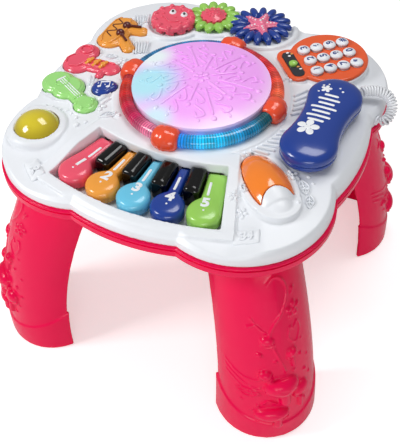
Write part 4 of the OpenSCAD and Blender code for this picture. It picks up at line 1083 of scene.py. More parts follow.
def key_outline(number):
    """A key's outline and spine; the outer sides of the fan's first and last key are straight."""
    rear = KEY_BACK - 5
    ys = [rear * k / 26 for k in range(27)]
    right = [(neck_half(y, number == 5), y) for y in ys]
    left = [(-neck_half(y, number == 1), y) for y in ys]
    turns = [math.pi * k / 30 for k in range(1, 30)]
    front = [(BULB_R * math.cos(a), -BULB_R * math.sin(a)) for a in turns]
    corner = [(left[-1][0], KEY_BACK - 1.2), (left[-1][0] + 1.2, KEY_BACK), (0, KEY_BACK),
              (right[-1][0] - 1.2, KEY_BACK), (right[-1][0], KEY_BACK - 1.2)]
    outline = right[::-1] + front + left + corner
    spine = [(0, y) for x, y in right[::-1]] + [(0, 0)] * len(front)
    spine += [(0, y) for x, y in left] + [(0, rear)] * len(corner)
    return outline, spine


def key_tail(place):
    """The plain tail that runs back to the hinge."""
    front, end = KEY_BACK - 3, PIN_Y + 3
    outline = [(TAIL_HALF, front), (-TAIL_HALF, front), (-TAIL_HALF, end), (TAIL_HALF, end)]
    spine = [(0, front + 2)] * 2 + [(0, end - 3)] * 2
    profile = [(0, TAIL_TOP), (0.9, TAIL_TOP), (1, TAIL_TOP - 1), (1, KEY_BOTTOM), (0, KEY_BOTTOM)]
    return pillow(outline, spine, profile, place)


def piano_key(number):
    """A coloured key with its tail and its hinge pin."""
    place = on_fan((number - 3) * KEY_PITCH)

    def on_body(x, y, h):
        return place(x, y, key_rise(y, h))
    body = pillow(*key_outline(number), rounded(KEY_TOP, KEY_EDGE, KEY_BOTTOM, KEY_POWER), on_body)
    pin = tube([place(x, PIN_Y, KEY_BOTTOM + 4) for x in (-PIN_HALF, 0, PIN_HALF)], KEY_PIN_R * MM, 20)
    node = f"piano_key_{number}"
    key = welded(f"{node}_moulded", [body, key_tail(place), pin], nodes[node].data.materials[0])
    finish_piece(key, f"key_{number}", slot_of[node], (node,))


for number in range(1, 6):
    piano_key(number)


def black_keys():
    """Four tall keys with round shoulders, narrower towards their tops."""
    half, front, corner = 8.5, 18.0, 5.0
    arc = [math.radians(15 * k) for k in range(7)]
    outline = [(half, KEY_BACK - 4 * k) for k in range(7)]
    outline += [(half - corner + corner * math.cos(a), front + corner - corner * math.sin(a)) for a in arc]
    outline += [(-x, y) for x, y in reversed(outline)]
    outline += [(-4, KEY_BACK), (0, KEY_BACK), (4, KEY_BACK)]
    spine = [(0, min(max(y, front + 7), KEY_BACK - 4)) for x, y in outline]
    shape = rounded(KEY_TOP + 6.5, KEY_TOP - 1.5, 259.5, 2.7)
    forms = [pillow(outline, spine, shape, on_fan(i * KEY_PITCH)) for i in (-1.5, -0.5, 0.5, 1.5)]
    piece = welded("black_keys_moulded", forms, BLACK)
    finish_piece(piece, "table", "black_plastic", ("black_keys",))


black_keys()


# ---- handset ----

HANDSET_R, HANDSET_SPAN, HANDSET_WAIST = 29.0, 78.0, 24.0
HANDSET_HALF = HANDSET_SPAN / 2
# Radius of the arcs that make the waist, and how far along they meet the round ends
WAIST_ARC = (HANDSET_HALF ** 2 + HANDSET_WAIST ** 2 - HANDSET_R ** 2) / (2 * (HANDSET_R - HANDSET_WAIST))
WAIST_END = HANDSET_HALF * (1 - HANDSET_R / (HANDSET_R + WAIST_ARC))
HANDSET_CREST, HANDSET_EDGE, HANDSET_POWER = HANDSET_TOP + 1, 296.5, 2.8
# From the handset's seam down to its underside: share of its width and height
GRIP_PROFILE = ((0, 292.5), (0.975, 292.5), (0.99, 291.5), (0.985, 289.5), (0.95, 287), (0.88, 285.3),
                (0.8, 285), (0, 285))
COVER_FOOT, SOCKET_ROOT, SOCKET_R = 292.6, (140.8, 63.6, 289), 3.4


def waist_half(y):
    """Half width of the handset's waist."""
    return HANDSET_WAIST + WAIST_ARC - math.sqrt(WAIST_ARC ** 2 - y * y)


def handset_outline():
    """The handset's outline and spine: two round ends and a waist between large arcs."""
    side = [(waist_half(y), y) for y in [WAIST_END * (k / 14) for k in range(-14, 15)]]
    limit = math.asin((HANDSET_HALF - WAIST_END) / HANDSET_R)
    steps = 40
    turns = [-limit + (math.pi + 2 * limit) * k / steps for k in range(1, steps)]
    end = [(HANDSET_R * math.cos(a), HANDSET_HALF + HANDSET_R * math.sin(a)) for a in turns]
    outline = side + end + [(-x, y) for x, y in reversed(side)] + [(-x, -y) for x, y in end]
    return outline, [(0, max(-HANDSET_HALF, min(HANDSET_HALF, y))) for x, y in outline]


def on_handset(x, y, h):
    """On the handset's cover; x and y count from its middle."""
    if abs(y) > HANDSET_HALF:
        share = math.hypot(x, abs(y) - HANDSET_HALF) / HANDSET_R
    elif abs(y) > WAIST_END:
        share = abs(x) / math.sqrt(HANDSET_R ** 2 - (HANDSET_HALF - abs(y)) ** 2)
    else:
        share = abs(x) / waist_half(y)
    rise = (1 - min(share, 0.98) ** HANDSET_POWER) ** (1 / HANDSET_POWER)
    z = HANDSET_EDGE + (HANDSET_CREST - HANDSET_EDGE) * rise
    return Vector((HANDSET_X + x, HANDSET_Y + y, z + h)) * MM


def handset():
    """The handset's two shells, and the socket that the cord comes out of."""
    outline, spine = handset_outline()

    def place(x, y, h):
        return Vector((HANDSET_X + x, HANDSET_Y + y, h)) * MM
    shape = rounded(HANDSET_CREST, HANDSET_EDGE, COVER_FOOT, HANDSET_POWER, tuck=0.02, steps=16)
    cover = welded("handset_cover_moulded", [pillow(outline, spine, shape, place)], BLUE)
    finish_piece(cover, "handset", "blue_plastic", ("handset_cover",))
    socket = tube([Vector(SOCKET_ROOT) * MM, Vector(CORD_POINTS[0]) * MM], SOCKET_R * MM, 24)
    grip = pillow(outline, spine, GRIP_PROFILE, place)
    base = welded("handset_base_moulded", [grip, socket], BLUE)
    finish_piece(base, "handset", "blue_plastic", ("handset_base",))


handset()


def handset_print():
    """A plain flower, a run of bars and a few dots, printed along the handset."""
    work = Relief(on_handset, sink=0.15)
    middle = (-7.5, -24)
    for k in range(5):
        a = 0.3 + 2 * math.pi * k / 5
        work.drop(spot_round(middle, 7.2, a), 9.4, 7.6, 0.3, a, sides=24)
    work.drop(middle, 6.6, 6.6, 0.3)
    for y, reach in ((-11, 7), (-4, 11), (3, 8), (10, 12), (17, 7), (24, 10), (31, 6)):
        x = -3.2 + 0.06 * y
        work.line([(x - reach, y), (x, y), (x + reach, y)], 3.4, 0.3, step=2)
    work.flower((-10.1, 40), 5, 3.6, 3.8, 0.3, 0.3)
    for x, y, size in ((-14.7, 45.2, 2.6), (-9.7, 48.2, 2.2), (-16.5, 34, 2.2), (7.2, 41, 2.8),
                       (3, 45.5, 2.2)):
        work.drop((x, y), size, size, 0.3)
    work.piece("handset_print", INK_WHITE, "handset", "white_plastic")


handset_print()


# ---- saddles that hold the light ring down ----

# Room between a saddle and the tube, its half length in degrees and the height of its band
SADDLE_GAP, SADDLE_HALF, SADDLE_BAND, SADDLE_STEPS = 0.35, 9.4, 0.8, 16


def saddle(turn):
    """A swelling clamp over the tube, fatter in the middle, with a raised band along its crown."""
    inner = TUBE_R + SADDLE_GAP
    angles = [math.radians(158 - 196 * k / 22) for k in range(23)]
    rings = []
    for i in range(SADDLE_STEPS + 1):
        u = -1 + 2 * i / SADDLE_STEPS
        swell = (1 - abs(u) ** 2.6) ** 0.5 if abs(u) < 1 else 0.0
        a = turn + math.radians(SADDLE_HALF) * u
        ring = []
        for f in angles:
            low = max(0.0, -math.sin(f))
            thick = 0.5 + swell * (3.9 + 3.4 * max(math.cos(f), 0) + 0.9 * low)
            if abs(u) < 0.2:
                thick += SADDLE_BAND
            r, z = RING_R + (inner + thick) * math.cos(f), TUBE_Z + (inner + thick) * math.sin(f)
            ring.append((max(r, PAD_R + 1.0), max(z, HIGH_Z + 0.4)))
        for f in reversed(angles):
            r, z = RING_R + inner * math.cos(f), TUBE_Z + inner * math.sin(f)
            ring.append((max(r, PAD_R + 0.9), max(z, HIGH_Z + 0.35)))
        rings.append([Vector((r * math.cos(a), DRUM_Y + r * math.sin(a), z)) * MM for r, z in ring])
    verts = [v for ring in rings for v in ring]
    return verts, bands(len(rings), len(rings[0])) + caps(len(rings), len(rings[0]))


def ring_saddles():
    """The four saddles, a quarter turn apart."""
    orange = gloss_plastic("saddle_orange", "#f4502a", coat=0.4)
    saddles = welded("ring_saddles", [saddle(math.radians(90 * k)) for k in range(4)], orange)
    finish_piece(saddles, "table", "orange_plastic", ("ring_clips",))


ring_saddles()


# ---- gears ----

# Heights, in mm, above which only the animal gear's teeth and the starfish's arms are looked at
TEETH_LOW, ARMS_LOW = 280, 289


def gear_work(places, at):
    """Closed petals or fingers on a gear: turn, reach, length, width, height and point of each."""
    work = Relief(on_level(GEAR_TOP))
    for turn, reach, length, width, height, point in places:
        a = math.radians(turn)
        work.drop(spot_round(at, reach, a), length, width, height, a, point)
    return work.verts, work.faces


def phase(node, at, low):
    """The direction, in degrees, in which a node reaches furthest from a place above a height."""
    far = max((v.co / MM for v in nodes[node].data.vertices if v.co.z > low * MM),
              key=lambda p: math.hypot(p.x - at[0], p.y - at[1]))
    return math.degrees(math.atan2(far.y - at[1], far.x - at[0]))


def star_gear():
    """The blue gear with a finger along each tooth."""
    fingers = [(196.25 + 360 / STAR_TEETH * k, 25.5, 23, 8.2, 4.2, -0.3) for k in range(STAR_TEETH)]
    softened(["star_gear"], voxel=0.45, passes=3, triangles=50000, added=[gear_work(fingers, STAR_AT)])


def flower_gear():
    """The green gear with a petal along each tooth."""
    petals = [(5 + 360 / FLOWER_TEETH * k, 23.0, 17, 10.2, 3.6, -0.2) for k in range(FLOWER_TEETH)]
    softened(["flower_gear"], voxel=0.45, passes=3, triangles=40000, added=[gear_work(petals, FLOWER_AT)])


def animal_gear():
    """The gear with a round face and a knob at each tooth."""
    tooth = phase("animal_gear", ANIMAL_AT, TEETH_LOW)
    knobs = [(tooth + 360 / ANIMAL_TEETH * k, 22.5, 9.5, 9.0, 7.8, 0.0) for k in range(ANIMAL_TEETH)]
    return softened(["animal_gear"], voxel=0.5, passes=4, triangles=50000,
                    added=[gear_work(knobs, ANIMAL_AT)])


star_gear()
flower_gear()
animal = animal_gear()
centre = softened(["flower_centre"], voxel=0.4, passes=4, triangles=20000)
starfish = softened(["starfish"], voxel=0.4, passes=4, triangles=20000)


# ---- ribs round the light ring, made once and turned round it ----

# A rib's own radius, and how far its middle lies outside the tube's skin
RIB_R, RIB_OUT = 0.42, 0.02
RIB_INPUTS = (("Count", "NodeSocketInt", 8), ("Ring Radius", FLOAT_SOCKET, 0.08),
              ("Tube Radius", FLOAT_SOCKET, 0.007), ("Rib Radius", FLOAT_SOCKET, 0.0002),
              ("Ring Centre", VECTOR_SOCKET, (0, 0, 0)), ("Finish", "NodeSocketMaterial", None))


def rib_tree():
    """A thin hoop round the tube, repeated round the ring."""
    tree = bpy.data.node_groups.new("ring_ribs", "GeometryNodeTree")
    open_sockets(tree, RIB_INPUTS, (("Geometry", "NodeSocketGeometry"),))
    given, result = add_node(tree, "NodeGroupInput"), add_node(tree, "NodeGroupOutput")
    ring = add_node(tree, "GeometryNodeMeshCircle")
    hoop = add_node(tree, "GeometryNodeCurvePrimitiveCircle")
    hoop.inputs["Resolution"].default_value = 18
    section = add_node(tree, "GeometryNodeCurvePrimitiveCircle")
    section.inputs["Resolution"].default_value = 3
    swept = add_node(tree, "GeometryNodeCurveToMesh")
    index = add_node(tree, "GeometryNodeInputIndex")
    angle = add_node(tree, "ShaderNodeMath", operation="MULTIPLY")
    whole = add_node(tree, "ShaderNodeMath", operation="DIVIDE")
    whole.inputs[0].default_value = 2 * math.pi
    euler = add_node(tree, "ShaderNodeCombineXYZ")
    euler.inputs["X"].default_value = math.pi / 2
    copies = add_node(tree, "GeometryNodeInstanceOnPoints")
    moved = add_node(tree, "GeometryNodeTransform")
    real = add_node(tree, "GeometryNodeRealizeInstances")
    finish = add_node(tree, "GeometryNodeSetMaterial")
    links = tree.links
    links.new(given.outputs["Count"], ring.inputs["Vertices"])
    links.new(given.outputs["Ring Radius"], ring.inputs["Radius"])
    links.new(given.outputs["Tube Radius"], hoop.inputs["Radius"])
    links.new(given.outputs["Rib Radius"], section.inputs["Radius"])
    links.new(hoop.outputs[0], swept.inputs["Curve"])
    links.new(section.outputs[0], swept.inputs["Profile Curve"])
    links.new(given.outputs["Count"], whole.inputs[1])
    links.new(index.outputs[0], angle.inputs[0])
    links.new(whole.outputs[0], angle.inputs[1])
    links.new(angle.outputs[0], euler.inputs["Z"])
    links.new(ring.outputs[0], copies.inputs["Points"])
    links.new(swept.outputs[0], copies.inputs["Instance"])
    links.new(euler.outputs[0], copies.inputs["Rotation"])
    links.new(copies.outputs[0], moved.inputs["Geometry"])
    links.new(given.outputs["Ring Centre"], moved.inputs["Translation"])
    links.new(moved.outputs[0], real.inputs[0])
    links.new(real.outputs[0], finish.inputs["Geometry"])
    links.new(given.outputs["Finish"], finish.inputs["Material"])
    links.new(finish.outputs[0], result.inputs["Geometry"])
    return tree


def grow(name, tree, values):
    """Runs a Geometry Nodes tree with named inputs and keeps its result as a plain mesh."""
    piece = link(bpy.data.objects.new(name, bpy.data.meshes.new(name)))
    maker = piece.modifiers.new("maker", "NODES")
    maker.node_group = tree
    for item in tree.interface.items_tree:
        if item.item_type == "SOCKET" and item.in_out == "INPUT" and item.name in values:
            maker[item.identifier] = values[item.name]
    return bake(piece)


def ring_ribs():
    """The ribs that the light ring's tube carries."""
    ribs = grow("ring_ribs", rib_tree(), {
        "Count": RING_RIBS, "Ring Radius": RING_R * MM, "Tube Radius": (TUBE_R + RIB_OUT) * MM,
        "Rib Radius": RIB_R * MM, "Ring Centre": (0, DRUM_Y * MM, TUBE_Z * MM), "Finish": LIT_RING})
    finish_piece(ribs, "table", "ring_plastic")


ring_ribs()


# ---- digits and prints ----

def flat_text(text, size, weight):
    """The outline of a text as a flat mesh about the origin, in mm, thickened by a weight."""
    curve = bpy.data.curves.new("figure", "FONT")
    curve.body = text
    curve.size = size
    curve.offset = weight
    curve.align_x, curve.align_y = "CENTER", "CENTER"
    carrier = link(bpy.data.objects.new("figure", curve))
    graph = bpy.context.evaluated_depsgraph_get()
    mesh = bpy.data.meshes.new_from_object(carrier.evaluated_get(graph))
    bpy.data.objects.remove(carrier)
    return mesh


# Prints are cut into squares of this size to follow a curve, and go this deep into it
PRINT_SQUARE, PRINT_DEPTH = 0.9, 0.2


def printed(name, text, size, place, material, body, slot, thick=0.12, weight=0.0):
    """A text laid on a curved surface as a thin closed layer."""
    mesh = flat_text(text, size, weight)
    bm = bmesh.new()
    bm.from_mesh(mesh)
    bmesh.ops.remove_doubles(bm, verts=bm.verts, dist=1e-4)
    for axis in ((1, 0, 0), (0, 1, 0)):
        for k in range(-8, 9):
            bmesh.ops.bisect_plane(bm, geom=bm.verts[:] + bm.edges[:] + bm.faces[:], dist=1e-5,
                                   plane_co=[c * k * PRINT_SQUARE for c in axis], plane_no=axis)
    bmesh.ops.solidify(bm, geom=bm.faces[:], thickness=1.0)
    for v in bm.verts:
        v.co = place(v.co.x, v.co.y, thick if v.co.z > -0.5 else -PRINT_DEPTH)
    bmesh.ops.recalc_face_normals(bm, faces=bm.faces)
    bm.to_mesh(mesh)
    bm.free()
    mesh.materials.clear()
    mesh.materials.append(material)
    finish_piece(link(bpy.data.objects.new(name, mesh)), body, slot)


GRID_AT, NUMBER_DX, NUMBER_DY = (0.8, -2.0), 15.6, 20.0
CAP_R, CAP_EDGE, CAP_TOP = 7.3, PANEL_TOP + 2.2, PANEL_TOP + 5.4
NECK_R, FLANGE_R, STEM_R = 6.4, 7.3, 1.8
CAP_FLANGE, FLANGE_T, CAP_STEM = PANEL_TOP - 2.8, 1.2, 284.4
# The place of each sign on the keypad, in rows of four
KEYPAD_ORDER = {"1": 8, "2": 4, "3": 0, "4": 9, "5": 5, "6": 1, "7": 10, "8": 6, "9": 2,
                "*": 11, "0": 7, "#": 3}
NODE_WORD = {"*": "star", "#": "hash"}


def on_keypad(x, y):
    """A place counted from the keypad's middle, along its turned axes, as a place on the deck."""
    c, s = math.cos(KEYPAD_TURN), math.sin(KEYPAD_TURN)
    return KEYPAD_AT[0] + c * x - s * y, KEYPAD_AT[1] + s * x + c * y


def on_cap(at):
    """On a round cap's domed top."""
    def place(x, y, h):
        share = min(math.hypot(x - at[0], y - at[1]) / CAP_R, 0.98)
        return Vector((x, y, CAP_EDGE + (CAP_TOP - CAP_EDGE) * math.sqrt(1 - share * share) + h)) * MM
    return place


def number_cap(at):
    """A domed cap that swells above the panel, with its flange and stem under it."""
    turns = [math.radians(9 * k) for k in range(11)]
    dome = [(CAP_R * math.sin(a), CAP_EDGE + (CAP_TOP - CAP_EDGE) * math.cos(a)) for a in turns]
    neck = [(CAP_R - 0.2, CAP_EDGE - 0.5), (NECK_R, CAP_EDGE - 0.9), (NECK_R, CAP_FLANGE)]
    foot = CAP_FLANGE - FLANGE_T
    flange = [(FLANGE_R, CAP_FLANGE), (FLANGE_R, foot), (STEM_R, foot), (STEM_R, CAP_STEM), (0, CAP_STEM)]
    return lathe(dome + neck + flange, at)


def number_buttons():
    """The twelve caps of the keypad, each with its printed sign."""
    for sign, index in KEYPAD_ORDER.items():
        word = NODE_WORD.get(sign, sign)
        at = on_keypad(GRID_AT[0] + (index % 4 - 1.5) * NUMBER_DX,
                       GRID_AT[1] + (index // 4 - 1) * -NUMBER_DY)
        cap = welded(f"number_cap_{word}", [number_cap(at)], WHITE)
        finish_piece(cap, f"digit_{word}", "white_plastic", (f"number_{word}",))
        face = turned(on_cap(at), at, KEYPAD_TURN + math.pi / 2)
        printed(f"figure_{word}", sign, 10.5, face, INK_BLUE, f"digit_{word}", "blue_plastic",
                weight=0.25)


number_buttons()


def key_prints():
    """A figure, a stroke and a dot on each coloured key."""
    for number in range(1, 6):
        key_face = on_fan((number - 3) * KEY_PITCH)

        def on_key(x, y, h, key_face=key_face):
            return key_face(x, y, key_rise(y, KEY_TOP) + h)
        printed(f"key_figure_{number}", str(number), 17, turned(on_key, (0, 8.8), 0), INK_WHITE,
                f"key_{number}", "white_plastic", thick=0.2, weight=0.8)
        marks = Relief(on_key)
        marks.line([(0, 21), (0, 37)], 3.0, 0.3)
        marks.drop((0, -1.5), 2.2, 2.2, 0.4)
        marks.piece(f"key_marks_{number}", INK_WHITE, f"key_{number}", "white_plastic")


key_prints()


# ---- raised work on the deck ----

# Feathers round the ring: first and last angle in degrees, and where they start and end
FEATHERS = ((-42, -10, 100, 113), (6, 24, 100, 114), (193, 206, 100, 112))
# Flowers: middle, reach and size of the petals, height and turn
DECK_FLOWERS = (((-94, -53), 5, 5.4, 2.4, 0.3), ((132, -67), 4.6, 5, 2.2, 0.0),
                ((91, -115), 3.8, 4.2, 2.0, 0.6), ((104, -127), 3.6, 4, 2.0, 0.2),
                ((-112, 27), 4.6, 5, 2.2, 0.9), ((76, 72), 4, 4.4, 2.0, 0.1))
# Leaves: middle, length, width and turn
DECK_LEAVES = (((-78, -63), 18, 9, 0.7), ((147, -75), 17, 9, -0.9), ((158, -89), 15, 8, -1.2),
               ((-128, 31), 14, 8, 0.2), ((96, -101), 13, 7, 1.9))
# Beads: middle and size
DECK_BEADS = ((-148, -73, 3.6), (-140, -72, 4.2), (-132, -70.5, 3.6), (-124, -70, 4.2), (-117, -73, 3.6),
              (-102, -87, 7), (-108, -77, 4), (-95, -80, 4), (-66, -60, 4.4), (146, -60, 3.6),
              (153, -66, 3.2), (150, -99, 3.6), (70, 64, 6.5), (126, -85, 3.4), (-143, 33, 4),
              (-105, 16, 4.4), (-110, 5, 3.6))


def deck_ribs(work):
    """Two fans of ribs beside the picture drum, and one beside the mode button."""
    for k in range(6):
        work.line([(-134 + 2.6 * k, 101 + 1.2 * k), (-147 + 3.6 * k, 121 + 1.4 * k)], 2.9, 3.0)
        work.line([(-106 + 2.6 * k, 45 + 1.4 * k), (-118 + 3.6 * k, 66 + 1.0 * k)], 2.9, 3.0)
    for k in range(3):
        work.line([(-130 + 4.5 * k, -11), (-124 + 3.2 * k, -24)], 2.8, 2.6)


def deck_feathers(work):
    """Slanting feathers round the light ring, about four degrees apart."""
    middle = (0, DRUM_Y)
    for start, stop, inner, outer in FEATHERS:
        count = int((stop - start) / 4.0)
        for k in range(count + 1):
            a = math.radians(start + (stop - start) * k / count)
            tip = spot_round(middle, outer, a + math.radians(5))
            work.line([spot_round(middle, inner, a), tip], 3.8, 2.6)


def deck_relief():
    """Ribs, feathers, flowers, leaves and beads raised on the white deck."""
    work = Relief(on_top(shell))
    deck_ribs(work)
    deck_feathers(work)
    for at, reach, size, height, turn in DECK_FLOWERS:
        work.flower(at, 5, reach, size, height, turn)
    for at, length, width, turn in DECK_LEAVES:
        work.leaf(at, length, width, 2.0, turn)
    for x, y, size in DECK_BEADS:
        work.drop((x, y), size, size, size * 0.45)
    work.piece("deck_relief", WHITE, "table", "white_plastic")


deck_relief()


# Tiles: name, middle, turn and figures
TILES = (("left", (-113, -153), -0.65, "12"), ("right", (119, -150), 0.35, "34"))
TILE_TOP, TILE_FOOT = 1.6, -0.8


def figure_tiles():
    """Raised tiles with plain figures, at the front corners."""
    turns = [math.radians(30 * k) for k in range(4)]
    corner = [(10.5 + 1.5 * math.cos(a), 6 + 1.5 * math.sin(a)) for a in turns]
    outline = corner + [(-x, y) for x, y in reversed(corner)] + [(-x, -y) for x, y in corner]
    outline += [(x, -y) for x, y in reversed(corner)]
    spine = [(x * 0.5, 0) for x, y in outline]
    profile = [(0, TILE_TOP), (0.9, TILE_TOP), (1, 1.0), (1, TILE_FOOT), (0, TILE_FOOT)]
    for name, at, turn, figures in TILES:
        face = turned(on_top(shell), at, turn)
        block = pillow(outline, spine, profile, face)
        finish_piece(welded(f"tile_{name}", [block], WHITE), "table", "white_plastic")

        def on_tile(x, y, h, face=face):
            return face(x, y, TILE_TOP + h)
        printed(f"tile_figures_{name}", figures, 12, on_tile, WHITE, "table", "white_plastic",
                thick=1.3, weight=0.5)


figure_tiles()


# ---- raised work on the drum's pad ----

PAD_STROKES = 12


def pad_curl(middle_turn, inner, bow):
    """Points of a hook that bends back on itself, from a reach and a half width in radians."""
    bends = ((0, -bow), (7, bow * 0.7), (13, bow), (15, -bow * 0.2), (10, -bow * 0.7))
    return [spot_round((0, 0), inner + out, middle_turn + turn) for out, turn in bends]


def pad_relief():
    """Strokes, curls and beads that spread from the middle of the pad."""
    work = Relief(on_pad)
    middle = (0, 0)
    for k in range(PAD_STROKES):
        a = 2 * math.pi * k / PAD_STROKES + 0.13
        inner, outer = (13, 37) if k % 2 else (20, 56)
        work.line([spot_round(middle, inner, a), spot_round(middle, outer, a)], 3.4, 1.3)
        work.drop(spot_round(middle, outer + 7, a), 6, 6, 1.7)
        b = a + math.pi / PAD_STROKES
        for reach, bow in ((26, 0.12), (44, 0.1)):
            work.line(pad_curl(b, reach, bow), 2.8, 1.2)
        work.drop(spot_round(middle, 20, b), 4, 4, 1.2)
        work.drop(spot_round(middle, 64, b), 5, 3.6, 1.3, b)
    work.flower(middle, 6, 6, 6, 1.4)
    work.piece("pad_relief", DRUM_SKIN, "drum", "drum_plastic")


pad_relief()


# ---- trimmings of the buttons, gears and keypad ----

GUITAR_MIDDLE, MODE_MIDDLE, NECK_TURN = (-142, -39), (-101, -25), math.atan2(-17.5, 33)


def guitar_trim():
    """A round outline, the pegs and the neck's end in green; the strings and the bridge in white."""
    body = Relief(turned(on_top(guitar), GUITAR_MIDDLE, 0))
    body.line(oval((-9, 3), 7, 7), 1.8, 1.0, closed=True)
    for x, y in ((40, -12), (42, -21), (35, -28), (25, -24)):
        body.drop((x - 1.5, y + 1), 5, 4, 1.6)
    body.line([(25, -4), (18, -17)], 2.4, 1.4)
    body.piece("guitar_relief", PALE_GREEN, "guitar", "pale_green_plastic")
    strings = Relief(turned(on_top(guitar), GUITAR_MIDDLE, NECK_TURN))
    for y in (-2.7, 0, 2.7):
        strings.line([(-12, y), (26, y)], 1.2, 0.6)
    strings.line([(-14, -5), (-14, 5)], 2.4, 1.2)
    strings.piece("guitar_strings", INK_WHITE, "guitar", "white_plastic")


def trumpet_trim():
    """The trumpet's round end and the pipes along it."""
    pipes = Relief(turned(on_top(trumpet), TRUMPET_AT, 0))
    pipes.line(oval((-1, 23), 7.5, 6.5), 3.0, 2.0, closed=True)
    pipes.line([(-12, -6), (-14, 2), (-10, 10)], 3.0, 1.8)
    pipes.line([(-4, -10), (4, -8), (8, -2), (10, 6)], 3.0, 1.8)
    pipes.line([(9, 10), (26, 11.5), (42, 11.5)], 3.4, 2.0)
    pipes.line([(10, -2), (22, -1.5), (30, -1)], 3.4, 2.0)
    pipes.piece("trumpet_pipes", CORAL, "trumpet", "coral_plastic")


def snare_trim():
    """The picture drum's two rims and its lacing."""
    rims = Relief(turned(on_top(snare), SNARE_AT, 0))
    rims.line([(4, 43), (8, 32), (10, 18), (9, 3), (5, -10)], 3.2, 1.6)
    rims.line([(-8, 41), (-12, 30), (-12.5, 14), (-11, 0), (-7, -10)], 3.2, 1.6)
    rims.piece("snare_rims", AMBER, "picture_drum", "amber_plastic")
    lacing = Relief(turned(on_top(snare), SNARE_AT, 0))
    lacing.line([(-9, 36), (0, 29), (-9, 22), (0, 15), (-9, 8), (0, 1)], 1.5, 0.8)
    lacing.piece("snare_lacing", MAROON, "picture_drum", "maroon_plastic")


def mode_marks():
    """Two joined notes and three dots on the mode button."""
    mode = Relief(turned(on_top(mode_knob), MODE_MIDDLE, 0.35))
    for x in (-5.5, 4):
        mode.drop((x - 1.4, -3.6), 4.4, 3.4, 0.6, 0.4)
        mode.line([(x, -3), (x, 4)], 1.2, 0.6)
    mode.line([(-5.5, 4), (4, 4.8)], 2.0, 0.6)
    for x, y in ((-8.5, 1.5), (7.5, 0.5), (-0.8, -0.5)):
        mode.drop((x, y), 1.6, 1.6, 0.6)
    mode.piece("mode_marks", INK_WHITE, "mode", "white_plastic")


def animal_face():
    """A plain face on the animal gear."""
    face = turned(on_top(animal), ANIMAL_AT, 0)
    eyes, pupils, mouth = Relief(face), Relief(face), Relief(face)
    for x, y in ((-4.5, 8), (10.5, 8)):
        eyes.drop((x, y), 8.6, 8.6, 1.4)
        pupils.drop((x + 0.6, y - 0.8), 4.0, 4.0, 2.0)
    mouth.line([(-7, -6), (-2, -10), (5, -10), (10, -6)], 2.0, 1.2)
    for x, y in ((-14, 2), (-12, -6), (17, 1), (14, -8), (3, 0), (2, 15)):
        mouth.drop((x, y), 3.4, 3.4, 1.4)
    eyes.piece("animal_eyes", INK_WHITE, "animal", "white_plastic")
    pupils.piece("animal_pupils", INK_BLACK, "animal", "black_plastic")
    mouth.piece("animal_relief", CORAL, "animal", "coral_plastic")


def flower_seeds():
    """Seeds in rings on the flower gear's middle."""
    seeds = Relief(turned(on_top(centre), FLOWER_AT, 0))
    for count, reach, size in ((1, 0, 3), (6, 4, 2.6), (11, 8, 2.6)):
        for k in range(count):
            seeds.drop(spot_round((0, 0), reach, 2 * math.pi * k / count), size, size, 1.0)
    seeds.piece("flower_seeds", CORAL, "flower", "coral_plastic")


def star_beads():
    """A row of beads along each arm of the starfish, and one in its middle."""
    turn = math.radians(phase("starfish", STAR_AT, ARMS_LOW))
    beads = Relief(turned(on_top(starfish), STAR_AT, turn))
    for k in range(5):
        for reach, size in ((8, 2.4), (12, 2.1), (16, 1.8)):
            beads.drop(spot_round((0, 0), reach, 2 * math.pi * k / 5), size, size, 0.9)
    beads.drop((0, 0), 3, 3, 1.0)
    beads.piece("star_beads", INK_WHITE, "star", "white_plastic")


# Marks on the display: name, finish, slot and places
DISPLAY_MARKS = (
    ("display_marks", INK_WHITE, "white_plastic", ((58, 109), (62, 104.5), (82, 87.5))),
    ("display_lights", AMBER, "amber_plastic", ((63, 109.5), (78, 90), (83, 92))))


def display_marks():
    """Small marks and lights on the keypad's window."""
    window = on_top(nodes["display_window"])
    for name, finish, slot, spots in DISPLAY_MARKS:
        marks = Relief(window)
        for spot in spots:
            marks.drop(spot, 3.6, 2.6, 0.3, KEYPAD_TURN)
        marks.piece(name, finish, "table", slot)


guitar_trim()
trumpet_trim()
snare_trim()
mode_marks()
animal_face()
flower_seeds()
star_beads()
display_marks()


# ---- floor and lights ----

def floor_material():
    """White to the camera, and pale grey where the table shades it."""
    material = bpy.data.materials.new("studio_floor")
    material.use_nodes = True
    tree = material.node_tree
    surface = tree.nodes["Principled BSDF"]
    noise = add_node(tree, "ShaderNodeTexNoise")
    noise.inputs["Scale"].default_value = 3
    tint = add_node(tree, "ShaderNodeMapRange")
    tint.inputs["To Min"].default_value = 0.93
    tint.inputs["To Max"].default_value = 0.95
    tree.links.new(noise.outputs["Fac"], tint.inputs["Value"])
    tree.links.new(tint.outputs["Result"], surface.inputs["Base Color"])
    surface.inputs["Roughness"].default_value = 0.7
    surface.inputs["Specular IOR Level"].default_value = 0.2
    path = add_node(tree, "ShaderNodeLightPath")
    lift = add_node(tree, "ShaderNodeMath", operation="MULTIPLY")
    lift.inputs[1].default_value = 0.5
    tree.links.new(path.outputs["Is Camera Ray"], lift.inputs[0])
    tree.links.new(lift.outputs[0], surface.inputs["Emission Strength"])
    surface.inputs["Emission Color"].default_value = (1, 1, 1, 1)
    return material


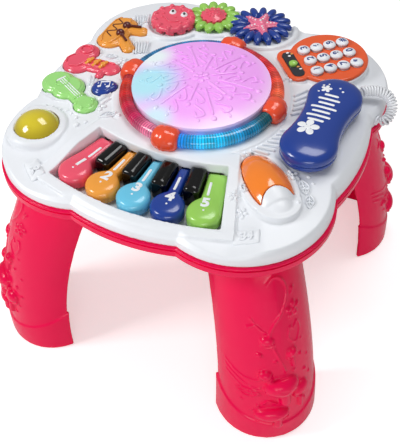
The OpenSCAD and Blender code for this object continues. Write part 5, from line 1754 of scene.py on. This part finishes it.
def lay_floor():
    """A wide floor, half a millimetre under the feet."""
    mesh = bpy.data.meshes.new("studio_floor")
    half = 6.0
    corners = [(-half, -half, 0), (half, -half, 0), (half, half, 0), (-half, half, 0)]
    mesh.from_pydata(corners, [], [(0, 1, 2, 3)])
    mesh.materials.append(floor_material())
    floor = link(bpy.data.objects.new("studio_floor", mesh))
    floor.location.z = -0.0005


def add_light(name, at, target, size, power):
    """A rectangular lamp that faces its target; its power is in watts."""
    lamp = bpy.data.lights.new(name, "AREA")
    lamp.shape, lamp.size, lamp.size_y, lamp.energy = "RECTANGLE", size[0], size[1], power
    carrier = link(bpy.data.objects.new(name, lamp))
    carrier.location = at
    carrier.rotation_mode = "QUATERNION"
    carrier.rotation_quaternion = (Vector(target) - Vector(at)).to_track_quat("-Z", "Y")


# Lamps: name, place, target, size and power
LAMPS = (("key_light", (-1.0, -0.85, 1.25), (0, 0, 0.2), (0.5, 0.5), 12),
         ("front_light", (0.75, -1.55, 0.5), (0, 0, 0.15), (0.9, 0.5), 7),
         ("top_light", (0.15, 0.5, 1.7), (0, 0, 0.25), (0.9, 0.6), 9))
AIR_LIGHT = 0.3


def light_scene():
    """White air that shines less than it shows, and three lamps."""
    world = bpy.data.worlds.new("studio")
    bpy.context.scene.world = world
    world.use_nodes = True
    tree = world.node_tree
    air = tree.nodes["Background"]
    path = add_node(tree, "ShaderNodeLightPath")
    seen = add_node(tree, "ShaderNodeMath", operation="MAXIMUM")
    tree.links.new(path.outputs["Is Camera Ray"], seen.inputs[0])
    tree.links.new(path.outputs["Is Transmission Ray"], seen.inputs[1])
    level = add_node(tree, "ShaderNodeMapRange")
    level.inputs["To Min"].default_value = AIR_LIGHT
    level.inputs["To Max"].default_value = 1.0
    tree.links.new(seen.outputs[0], level.inputs["Value"])
    tree.links.new(level.outputs["Result"], air.inputs["Strength"])
    air.inputs["Color"].default_value = (1, 1, 1, 1)
    for lamp in LAMPS:
        add_light(*lamp)


lay_floor()
light_scene()
bpy.context.scene.view_settings.view_transform = "Standard"
